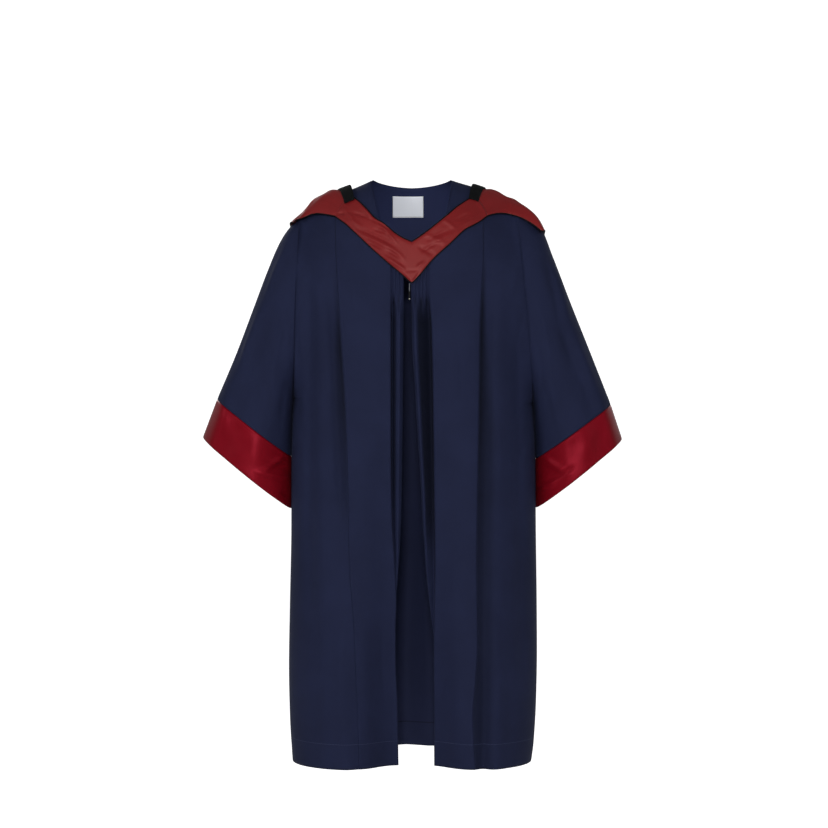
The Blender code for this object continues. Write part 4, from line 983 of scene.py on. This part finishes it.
def shoulder_point(side, out, bend):
    """A point of the plain worn form, which goes over the shoulder line and on over the sleeve's head."""
    turned = np.abs(bend)
    below = np.where(turned < math.pi / 2, 1 - np.cos(turned), 1 + turned - math.pi / 2) * SHOULDER_ROUND
    drop = below - shoulder_height(side, out)
    pit, top = ARMHOLE[side]["pit"], ARMHOLE[side]["top"]
    place = np.clip(1 - below / ((pit - top) / 2), 0, 1)
    sleeve = ARMHOLE_DEPTH * np.sqrt(1 - place**2)
    front = body_depth(side, out, drop, "front")
    back = body_depth(side, out, drop, "back")
    beyond = out > SIDE_LINE[side].read("out", drop)
    depth = np.where(bend < 0, front, back)
    depth = np.where(beyond, np.maximum(sleeve, depth), depth)
    return np.stack([side * out, np.sign(bend) * depth, -drop], -1)


def hood_half(side, table, steps):
    """Rows along the band by columns across it, on the worn form, with the clearance of each row."""
    place = np.linspace(table.key[0], table.key[-1], steps + 1)
    rows = []
    for edge in ("inner", "outer"):
        out = table.columns[edge + "_out"]
        bend = bend_at(side, out, table.columns[edge + "_drop"])
        smooth = Table("place out bend", *zip(table.key, out, bend))
        rows.append((smooth.read("out", place), smooth.read("bend", place)))
    across = np.linspace(0, 1, HOOD_COLUMNS + 1)
    out = rows[0][0][:, None] * (1 - across) + rows[1][0][:, None] * across
    bend = rows[0][1][:, None] * (1 - across) + rows[1][1][:, None] * across
    return shoulder_point(side, out, bend), table.read("clear", place)


def smoothed(points, rounds):
    """The grid with its inside points evened out, its edges evened along themselves."""
    points = points.copy()
    for _ in range(rounds):
        inside = (points[:-2] + points[2:]) / 2
        points[1:-1] = (points[1:-1] + inside) / 2
        across = (points[:, :-2] + points[:, 2:]) / 2
        points[:, 1:-1] = (points[:, 1:-1] + across) / 2
    return points


def joined_halves(tables, steps, last_first):
    """Both halves of a hood piece as one grid, from the right seam to the left one."""
    right, right_clear = hood_half(RIGHT, tables[RIGHT], steps)
    left, left_clear = hood_half(LEFT, tables[LEFT], steps)
    if last_first:
        return np.concatenate([right[::-1], left[1:]]), np.concatenate([right_clear[::-1], left_clear[1:]])
    return np.concatenate([right, left[::-1][1:]]), np.concatenate([right_clear, left_clear[::-1][1:]])


def hood_grids():
    front, front_clear = joined_halves(HOOD_FRONT, HOOD_FRONT_STEPS, True)
    back, back_clear = joined_halves(HOOD_BACK, HOOD_BACK_STEPS, False)
    back = smoothed(back, 6)
    across = np.linspace(0, 1, HOOD_COLUMNS + 1)[None, :]
    rolled = HOOD_EDGE_ROLL * (bump(across, 0.0, 0.05) + bump(across, 1.0, 0.05))
    rise = HOOD_CREASE_SIZE * creases(HOOD_CREASES, front[..., 0], -front[..., 2]) * (front[..., 1] < 0)
    rise = rise + creases(HOOD_TIP_SEAMS, front[..., 0], -front[..., 2])
    front = front + (front_clear[:, None] + rise - rolled)[..., None] * normals(front, False)
    way = np.linspace(0, 1, len(back))[:, None]
    folds = creases(HOOD_BACK_FOLDS, way + 0 * across, across + 0 * way)
    folds = np.where(folds > 0, HOOD_FOLD_SIZE["ridge"], HOOD_FOLD_SIZE["furrow"]) * folds
    back = back + (back_clear[:, None] + folds - rolled)[..., None] * normals(back, True)
    return front, back


def piping_line(front, back, edge):
    """A closed line just off one edge of the hood, all the way round."""
    inside = 1 if edge == 0 else -2
    lines = []
    for points in (front, back[::-1]):
        lift = normals(points, False)[:, edge]
        along = unit(np.gradient(points[:, edge], axis=0))
        away = points[:, edge] - points[:, inside]
        away = unit(away - along * np.sum(away * along, -1, keepdims=True))
        off = away * PIPING_RADIUS * PIPING_SET_IN
        lines.append(points[:, edge] - lift * CLOTH / 2 + off + lift * PIPING_LIFT)
    line = np.concatenate([lines[0][:-1], lines[1][:-1]])
    for _ in range(3):
        line = line / 2 + (np.roll(line, 1, 0) + np.roll(line, -1, 0)) / 4
    return line


def strap_grid(side):
    place = np.linspace(STRAP.key[0], STRAP.key[-1], STRAP_ROWS)
    across = np.linspace(0, 1, STRAP_COLUMNS)
    inner, outer = STRAP.read("inner_out", place), STRAP.read("outer_out", place)
    out = inner[:, None] * (1 - across) + outer[:, None] * across
    bend = np.repeat(STRAP.read("bend", place)[:, None], len(across), 1)
    rounded = -STRAP_EDGE_FALL * (np.abs(2 * across - 1) ** 4)[None, :]
    ends = -STRAP_END_FALL * (bump(place, place[0], 0.05) + bump(place, place[-1], 0.05))[:, None]
    points = shoulder_point(side, out, bend)
    return points + (STRAP_CLEAR[side] + rounded + ends)[..., None] * normals(points, side == RIGHT)


def label_grid():
    """The label, cast onto the inside of the back and held just off it."""
    x = LABEL["middle_x"] + LABEL["width"] * np.linspace(-0.5, 0.5, LABEL_COLUMNS)
    drop = LABEL["middle_drop"] + LABEL["height"] * np.linspace(-0.5, 0.5, LABEL_ROWS)
    panel = back_grid()
    rows, columns = panel.shape[:2]
    quads = [
        (r * columns + c, r * columns + c + 1, (r + 1) * columns + c + 1, (r + 1) * columns + c)
        for r in range(rows - 1)
        for c in range(columns - 1)
    ]
    tree = BVHTree.FromPolygons(panel.reshape(-1, 3).tolist(), quads)
    points = np.array([[tree.ray_cast((px, 0, -pz), (0, 1, 0))[0] for px in x] for pz in drop])
    u, v = np.meshgrid(np.linspace(-1, 1, LABEL_COLUMNS), np.linspace(-1, 1, LABEL_ROWS))
    slack = LABEL_SLACK * ((1 - u**4) * (1 - v**4) + 0.4 * np.sin(5 * u + 2 * v))
    return points - (LABEL["off_back"] + slack)[..., None] * normals(points, False)


def surface_lengths(points):
    """UV in metres: across along the middle row, and down each column from its first row."""
    rows, columns = points.shape[:2]
    middle = points[rows // 2]
    steps = np.linalg.norm(np.diff(middle, axis=0), axis=-1)
    u = np.concatenate([[0], np.cumsum(steps)])
    return np.broadcast_to(u, (rows, columns)), down_lengths(points)


def cloth(
    name, points, finish, flip, node, ring=False, first_rows=None,
    shade=None, inside=None,
):
    """A sheet of cloth on its form, with its wall to the inner side, in place of its solid."""
    rows, columns = points.shape[:2]
    first_rows = np.zeros(columns, int) if first_rows is None else first_rows
    closed = np.concatenate([points, points[:, :1]], 1) if ring else points
    u, v = surface_lengths(closed)
    down_left = v[-1:] - v
    faces, uvs = [], []
    for r in range(rows - 1):
        for c in range(columns if ring else columns - 1):
            after = (c + 1) % columns
            corners = [(r, c, c), (r, after, c + 1), (r + 1, after, c + 1), (r + 1, c, c)]
            if flip:
                corners = corners[::-1]
            corners = [corner for corner in corners if corner[0] >= first_rows[corner[1]]]
            if len(corners) > 2:
                faces.append([row * columns + column for row, column, _ in corners])
                uvs += [(u[row, place], down_left[row, place]) for row, _, place in corners]
    mesh = bpy.data.meshes.new(name)
    used = np.unique(np.concatenate(faces))
    place = {int(index): i for i, index in enumerate(used)}
    mesh.from_pydata(points.reshape(-1, 3)[used].tolist(), [], [[place[i] for i in face] for face in faces])
    mesh.uv_layers.new(name="weave").data.foreach_set("uv", np.array(uvs, np.float32).ravel())
    if shade is not None:
        shades = mesh.attributes.new("deep_shade", "FLOAT", "POINT")
        shades.data.foreach_set("value", shade.ravel()[used])
    mesh.materials.append(finish)
    mesh.shade_smooth()
    obj = place_in_scene(name, mesh)
    solid = obj.modifiers.new("wall", "SOLIDIFY")
    solid.thickness = CLOTH
    solid.offset = -1
    if inside is not None:
        mesh.materials.append(inside)
        solid.material_offset = 1
    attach(obj, "root")
    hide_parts(node)
    return obj


def tube(name, points, radius, finish, node, closed=True):
    """A covered cord along a line of points, as a mesh."""
    curve = bpy.data.curves.new(name, "CURVE")
    curve.dimensions = "3D"
    curve.bevel_depth = radius
    curve.bevel_resolution = 2
    curve.use_fill_caps = True
    line = curve.splines.new("POLY")
    line.points.add(len(points) - 1)
    for place, point in zip(line.points, points):
        place.co = (*point, 1)
    line.use_cyclic_u = closed
    shape = place_in_scene(name + "_line", curve)
    bpy.ops.object.select_all(action="DESELECT")
    shape.select_set(True)
    bpy.context.view_layer.objects.active = shape
    bpy.ops.object.convert(target="MESH")
    obj = bpy.context.object
    obj.name = name
    obj.data.materials.clear()
    obj.data.materials.append(finish)
    obj.data.shade_smooth()
    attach(obj, "root")
    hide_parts(node)
    return obj


# Finishes


class Nodes:
    """A node tree being built, with short calls for its nodes and links."""

    def __init__(self, tree):
        self.tree = tree

    def add(self, kind, **settings):
        node = self.tree.nodes.new(kind)
        for name, value in settings.items():
            setattr(node, name, value)
        return node

    def link(self, source, target):
        self.tree.links.new(source, target)

    def put(self, value, target):
        """Sets a socket to a number, or links an output to it."""
        if isinstance(value, bpy.types.NodeSocket):
            self.link(value, target)
        else:
            target.default_value = value

    def math(self, operation, *values):
        node = self.add("ShaderNodeMath", operation=operation)
        for place, value in enumerate(values):
            self.put(value, node.inputs[place])
        return node.outputs[0]

    def noise(self, where, scale, detail):
        node = self.add("ShaderNodeTexNoise")
        node.inputs["Scale"].default_value = scale
        node.inputs["Detail"].default_value = detail
        self.link(where, node.inputs["Vector"])
        return node.outputs[0]

    def ranged(self, value, first, last, low, high, kind="LINEAR"):
        """A value from first to last taken to one from low to high, and held beyond them."""
        node = self.add("ShaderNodeMapRange", interpolation_type=kind)
        self.link(value, node.inputs["Value"])
        for name, limit in zip(("From Min", "From Max", "To Min", "To Max"), (first, last, low, high)):
            self.put(limit, node.inputs[name])
        return node.outputs[0]

    def cloth_place(self):
        """The cloth's own UV in metres, and its way across and down."""
        uv = self.add("ShaderNodeUVMap", uv_map="weave")
        split = self.add("ShaderNodeSeparateXYZ")
        self.link(uv.outputs[0], split.inputs[0])
        return uv.outputs[0], split.outputs[0], split.outputs[1]

    def object_place(self):
        where = self.add("ShaderNodeTexCoord")
        return where.outputs["Object"]

    def wave(self, place, per_metre):
        """A sine wave along the cloth, with so many threads or stitches per metre."""
        return self.math("SINE", self.math("MULTIPLY", place, self.math("MULTIPLY", per_metre, 2 * math.pi)))

    def raise_by(self, height, depth, strength, shader):
        """Bumps a shader's surface by a height."""
        node = self.add("ShaderNodeBump")
        node.inputs["Strength"].default_value = strength
        node.inputs["Distance"].default_value = depth
        self.link(height, node.inputs["Height"])
        self.link(node.outputs[0], shader.inputs["Normal"])


def new_group(name, inputs, outputs):
    """An empty node group: the numbers that go in with their usual values, and the ones that come out."""
    group = bpy.data.node_groups.new(name, "ShaderNodeTree")
    for label, value in inputs.items():
        socket = group.interface.new_socket(label, in_out="INPUT", socket_type="NodeSocketFloat")
        socket.default_value = value
    for label in outputs:
        group.interface.new_socket(label, in_out="OUTPUT", socket_type="NodeSocketFloat")
    nodes = Nodes(group)
    return group, nodes, nodes.add("NodeGroupInput"), nodes.add("NodeGroupOutput")


def weave_group():
    """Twill or plain threads from the cloth's own UV, and a slow unevenness of its dye."""
    usual = {"Warp per metre": 1800, "Weft per metre": 1500, "Slant": 0.5, "Low": 0.9, "High": 1.1}
    group, n, start, end = new_group("threads", usual, ("Height", "Shade", "Slub"))
    uv, across, down = n.cloth_place()
    slanted = n.math("MULTIPLY_ADD", down, start.outputs["Slant"], across)
    warp = n.wave(slanted, start.outputs["Warp per metre"])
    weft = n.wave(down, start.outputs["Weft per metre"])
    height = n.math("MULTIPLY_ADD", n.math("MULTIPLY", warp, weft), 0.25, 0.5)
    n.link(n.math("MULTIPLY_ADD", warp, 0.25, height), end.inputs["Height"])
    dye = n.noise(uv, DYE_SPOTS, 3)
    n.link(n.ranged(dye, 0.3, 0.7, start.outputs["Low"], start.outputs["High"]), end.inputs["Shade"])
    stretch = n.add("ShaderNodeMapping")
    stretch.inputs["Scale"].default_value = SLUBS
    n.link(uv, stretch.inputs["Vector"])
    n.link(n.noise(stretch.outputs[0], 1, 2), end.inputs["Slub"])
    return group


def stitch_group():
    """A row of stitches at a distance from the cloth's lower edge: 1 on the thread, and its furrow."""
    usual = {"From edge": HEM, "Thread": 0.0005, "Per metre": 380}
    group, n, start, end = new_group("stitch_row", usual, ("Stitch", "Furrow"))
    _, across, down = n.cloth_place()
    off = n.math("ABSOLUTE", n.math("SUBTRACT", down, start.outputs["From edge"]))
    near = n.math("LESS_THAN", off, start.outputs["Thread"])
    on_top = n.math("GREATER_THAN", n.wave(across, start.outputs["Per metre"]), -0.3)
    n.link(n.math("MULTIPLY", near, on_top), end.inputs["Stitch"])
    wide = n.math("MULTIPLY", start.outputs["Thread"], 4)
    furrow = n.math("SUBTRACT", 1, n.math("MINIMUM", n.math("DIVIDE", off, wide), 1))
    n.link(furrow, end.inputs["Furrow"])
    return group


def place_group(nodes, group, **values):
    node = nodes.add("ShaderNodeGroup")
    node.node_tree = group
    for name, value in values.items():
        node.inputs[name.replace("_", " ")].default_value = value
    return node


def finish_base(name, colour, roughness, **sockets):
    made = bpy.data.materials.new(name)
    made.use_nodes = True
    made.diffuse_color = (*colour, 1)
    shader = made.node_tree.nodes["Principled BSDF"]
    shader.inputs["Base Color"].default_value = (*colour, 1)
    shader.inputs["Roughness"].default_value = roughness
    for socket, value in sockets.items():
        shader.inputs[socket.replace("_", " ")].default_value = value
    return made, Nodes(made.node_tree), shader


def tinted(n, colour, shade, thread_colour=None, stitch=None):
    """A colour times the shade, with a thread's colour where it is stitched."""
    scaled = n.add("ShaderNodeVectorMath", operation="SCALE")
    scaled.inputs[0].default_value = colour
    n.link(shade, scaled.inputs["Scale"])
    if stitch is None:
        return scaled.outputs[0]
    mix = n.add("ShaderNodeMix", data_type="RGBA")
    n.link(stitch, mix.inputs["Factor"])
    n.link(scaled.outputs[0], mix.inputs["A"])
    mix.inputs["B"].default_value = (*thread_colour, 1)
    return mix.outputs["Result"]


def woven(groups, name, colour, roughness, threads, gloss, depth=0.00006, hem=None, thread_colour=None):
    """A woven finish: threads, uneven dye, painted shade in deep folds, a stitched hem where it has one."""
    weave, stitch = groups
    made, n, shader = finish_base(name, colour, roughness, **gloss)
    threads = place_group(n, weave, **threads)
    height = n.math("MULTIPLY_ADD", threads.outputs["Slub"], 0.6, threads.outputs["Height"])
    # Painted shade: the deep_shade attribute darkens the base colour in deep folds, hollows and troughs
    fold = n.add("ShaderNodeAttribute", attribute_name="deep_shade")
    shade = n.math("MULTIPLY", threads.outputs["Shade"], n.math("SUBTRACT", 1, fold.outputs["Fac"]))
    if hem is None:
        n.link(tinted(n, colour, shade), shader.inputs["Base Color"])
    else:
        row = place_group(n, stitch, From_edge=hem)
        stitched = tinted(n, colour, shade, thread_colour, row.outputs["Stitch"])
        n.link(stitched, shader.inputs["Base Color"])
        height = n.math("MULTIPLY_ADD", row.outputs["Furrow"], -4.0, height)
    n.raise_by(height, depth, 0.6, shader)
    return made


def lining(weave):
    """The inside of the back: the same cloth, painted brighter to stand in for light, most at the neck, less
    below it.
    """
    made, n, shader = finish_base("navy_lining_painted_light", NAVY, 0.75, Specular_IOR_Level=0.10)
    threads = place_group(n, weave, Low=0.94, High=1.08)
    split = n.add("ShaderNodeSeparateXYZ")
    n.link(n.object_place(), split.inputs[0])
    # Painted light: the base colour grows brighter from low down up to the neck
    painted_brightness = n.ranged(split.outputs["Z"], *NECK_PAINTED_LIGHT_FADE, INSIDE_PAINTED_LIGHT, NECK_PAINTED_LIGHT, "SMOOTHSTEP")
    from_hem = n.math("ABSOLUTE", n.math("ADD", split.outputs["Z"], LENGTH - HEM))
    on_line = n.math("LESS_THAN", from_hem, INNER_HEM_LINE["half_width"])
    hem_edge = n.math("MULTIPLY_ADD", on_line, -INNER_HEM_LINE["shade"], 1.0)
    shade = n.math("MULTIPLY", threads.outputs["Shade"], n.math("MULTIPLY", painted_brightness, hem_edge))
    n.link(tinted(n, NAVY, shade), shader.inputs["Base Color"])
    return made


def plain(name, colour, roughness, grain, depth, **gloss):
    """A finish of small pieces: an even colour with a fine grain in object space."""
    made, n, shader = finish_base(name, colour, roughness, **gloss)
    noise = n.noise(n.object_place(), grain, 3)
    shade = n.math("MULTIPLY_ADD", noise, 0.5, 0.75)
    n.link(tinted(n, colour, shade), shader.inputs["Base Color"])
    n.raise_by(noise, depth, 1.0, shader)
    return made


def finishes():
    groups = weave_group(), stitch_group()
    twill = {"Low": 0.90, "High": 1.12}
    satin = {"Warp_per_metre": 2600, "Weft_per_metre": 900, "Slant": 0.0}
    tape = {"Warp_per_metre": 2200, "Weft_per_metre": 2200, "Slant": 0.0, "Low": 0.97, "High": 1.02}
    navy_gloss = {
        "Sheen_Weight": 0.012, "Sheen_Roughness": 0.4, "Sheen_Tint": NAVY_SHEEN,
        "Specular_IOR_Level": 0.14, "Specular_Tint": NAVY_GLOSS,
    }
    hood_gloss = {"Specular_IOR_Level": 0.30, "Specular_Tint": HOOD_GLOSS}
    cuff_gloss = {"Specular_IOR_Level": 0.34, "Specular_Tint": CUFF_GLOSS}
    velvet_gloss = {
        "Specular_IOR_Level": 0.1, "Sheen_Weight": 0.03, "Sheen_Roughness": 0.35,
        "Sheen_Tint": VELVET_SHEEN,
    }
    return {
        "navy": woven(
            groups, "navy_cloth", NAVY, 0.82, twill, navy_gloss, hem=HEM, thread_colour=HEM_THREAD,
        ),
        "sleeve": woven(groups, "navy_sleeve_cloth", NAVY, 0.82, twill, navy_gloss),
        "lining": lining(groups[0]),
        "hood": woven(
            groups, "hood_satin", HOOD_RED, 0.45, dict(satin, Low=0.92, High=1.08), hood_gloss, SATIN_GRAIN,
        ),
        "cuff": woven(
            groups, "cuff_satin", CUFF_CRIMSON, 0.38, dict(satin, Low=0.90, High=1.10), cuff_gloss,
            SATIN_GRAIN,
        ),
        "velvet": plain("black_velvet", VELVET_BLACK, 0.95, 1500, 0.0003, **velvet_gloss),
        "piping": plain("dark_piping", PIPING_NAVY, 0.6, 2200, 0.0001, Specular_IOR_Level=0.12),
        "label": woven(
            groups, "label_cloth", LABEL_WHITE, 0.5, tape, {"Specular_IOR_Level": 0.4}, SATIN_GRAIN,
            LABEL_HEM, LABEL_THREAD,
        ),
        "metal": plain("bright_metal", METAL, 0.28, 3000, 0.00002, Metallic=1.0),
        "cord": plain("pale_cord", CORD_GREY, 0.65, 4000, 0.0002),
    }


# Pieces


def gown(finish):
    navy = finish["navy"]
    back = back_grid()
    cloth(
        "gown_back", back, navy, False, "back_panel",
        shade=back_shade(back), inside=finish["lining"],
    )
    for side, word in SIDES:
        front = front_grid(side)
        cloth(
            "gown_front_" + word, front, navy, side == LEFT, "front_" + word,
            shade=deep_shade(side, np.abs(front[..., 0]), -front[..., 2]),
        )
        band, first_rows = facing_grid(side)
        cloth(
            "gown_band_" + word, band, navy, side == LEFT, "facing_" + word,
            first_rows=first_rows,
        )
        cloth(
            "gown_sleeve_" + word, sleeve_grid(side), finish["sleeve"], side == RIGHT, "sleeve_" + word,
            ring=True,
        )
        cloth(
            "gown_cuff_" + word, cuff_grid(side), finish["cuff"], side == RIGHT, "cuff_" + word,
            ring=True,
        )


def hood(finish):
    front, back = hood_grids()
    satin, piping = finish["hood"], finish["piping"]
    cloth("hood_band_front", front, satin, False, "hood_front")
    cloth("hood_drop_back", back, satin, True, "hood_back")
    for word, edge in (("inner", 0), ("outer", -1)):
        line = piping_line(front, back, edge)
        tube("hood_cord_" + word, line, PIPING_RADIUS, piping, "hood_piping_" + word)
    for side, word in SIDES:
        cloth(
            "hood_strap_" + word, strap_grid(side), finish["velvet"], side == RIGHT, "strap_" + word,
        )


def label(finish):
    points = label_grid()
    cloth("back_neck_label", points, finish["label"], True, "neck_label")


def dress_node(name, finish):
    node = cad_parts[name]
    node.data.materials.clear()
    node.data.materials.append(finish)


def fastening(finish):
    dress_node("fastening_loop", finish["cord"])
    dress_node("fastening_clasp", finish["piping"])
    dress_node("fastening_bead", finish["metal"])


# Studio
FLOOR_DROP = 1.60
FLOOR_RADIUS = 6.5
FLOOR_CURVE = 2.0
FLOOR_TOP = 6.0
FLOOR_TURNS = 96
FLOOR_BENDS = 14
FLOOR_GLOW = {"all_rays": 0.10, "camera_rays": 0.75}
LAMPS = (
    ("front", (-0.1, -4.9, 0.35), 0.5, 122),
    ("key", (-2.9, -2.8, 1.4), 1.2, 40),
    ("fill", (3.0, -2.6, 0.8), 1.6, 13),
    ("back_left", (-2.0, 3.6, 1.8), 1.0, 38),
    ("back_right", (2.4, 3.4, 1.0), 1.6, 14),
)
LAMP_AIM = Vector((0, 0, -0.55))
WORLD_LIGHT = 0.23
CAMERA_PLACE = (0.0041, -4.5, -0.482)
PICTURE_PIXELS = 828
FOCAL_PIXELS = 2184


def place_in_scene(name, data):
    obj = bpy.data.objects.new(name, data)
    bpy.context.scene.collection.objects.link(obj)
    return obj


def floor():
    """A pale floor that curves up all round."""
    rise = np.linspace(0.1, math.pi / 2, FLOOR_BENDS)
    profile = [(FLOOR_RADIUS, 0)]
    profile += [(FLOOR_RADIUS + FLOOR_CURVE * math.sin(a), FLOOR_CURVE * (1 - math.cos(a))) for a in rise]
    profile += [(FLOOR_RADIUS + FLOOR_CURVE, FLOOR_TOP)]
    verts = [(0, 0, -FLOOR_DROP)]
    for radius, height in profile:
        for i in range(FLOOR_TURNS):
            angle = 2 * math.pi * i / FLOOR_TURNS
            verts.append((radius * math.cos(angle), radius * math.sin(angle), height - FLOOR_DROP))
    faces = []
    for i in range(FLOOR_TURNS):
        after = (i + 1) % FLOOR_TURNS
        faces.append((0, 1 + i, 1 + after))
        for r in range(len(profile) - 1):
            a, b = 1 + r * FLOOR_TURNS, 1 + (r + 1) * FLOOR_TURNS
            faces.append((a + i, b + i, b + after, a + after))
    mesh = bpy.data.meshes.new("studio_floor")
    mesh.from_pydata(verts, [], faces)
    mesh.shade_smooth()
    pale, nodes, shader = finish_base("pale_floor", FLOOR_GREY, 0.9)
    shader.inputs["Emission Color"].default_value = (1, 1, 1, 1)
    ray = nodes.add("ShaderNodeLightPath").outputs["Is Camera Ray"]
    glow = nodes.math("MULTIPLY_ADD", ray, FLOOR_GLOW["camera_rays"], FLOOR_GLOW["all_rays"])
    nodes.link(glow, shader.inputs["Emission Strength"])
    mesh.materials.append(pale)
    place_in_scene("studio_floor", mesh)


def lights():
    for name, place, size, power in LAMPS:
        lamp = bpy.data.lights.new(name, "AREA")
        lamp.size = size
        lamp.energy = power
        light = place_in_scene(name, lamp)
        light.location = place
        light.rotation_euler = (LAMP_AIM - Vector(place)).to_track_quat("-Z", "Y").to_euler()
    world = bpy.data.worlds.new("studio")
    world.use_nodes = True
    background = world.node_tree.nodes["Background"]
    background.inputs["Color"].default_value = (1, 1, 1, 1)
    background.inputs["Strength"].default_value = WORLD_LIGHT
    bpy.context.scene.world = world
    bpy.context.scene.view_settings.view_transform = "Standard"


def camera():
    lens = bpy.data.cameras.new("camera")
    lens.sensor_width = 36
    lens.lens = lens.sensor_width * FOCAL_PIXELS / PICTURE_PIXELS
    viewer = place_in_scene("camera", lens)
    viewer.location = CAMERA_PLACE
    viewer.rotation_euler = (math.pi / 2, 0, 0)
    bpy.context.scene.camera = viewer


finish = finishes()
floor()
lights()
camera()
gown(finish)
hood(finish)
label(finish)
fastening(finish)
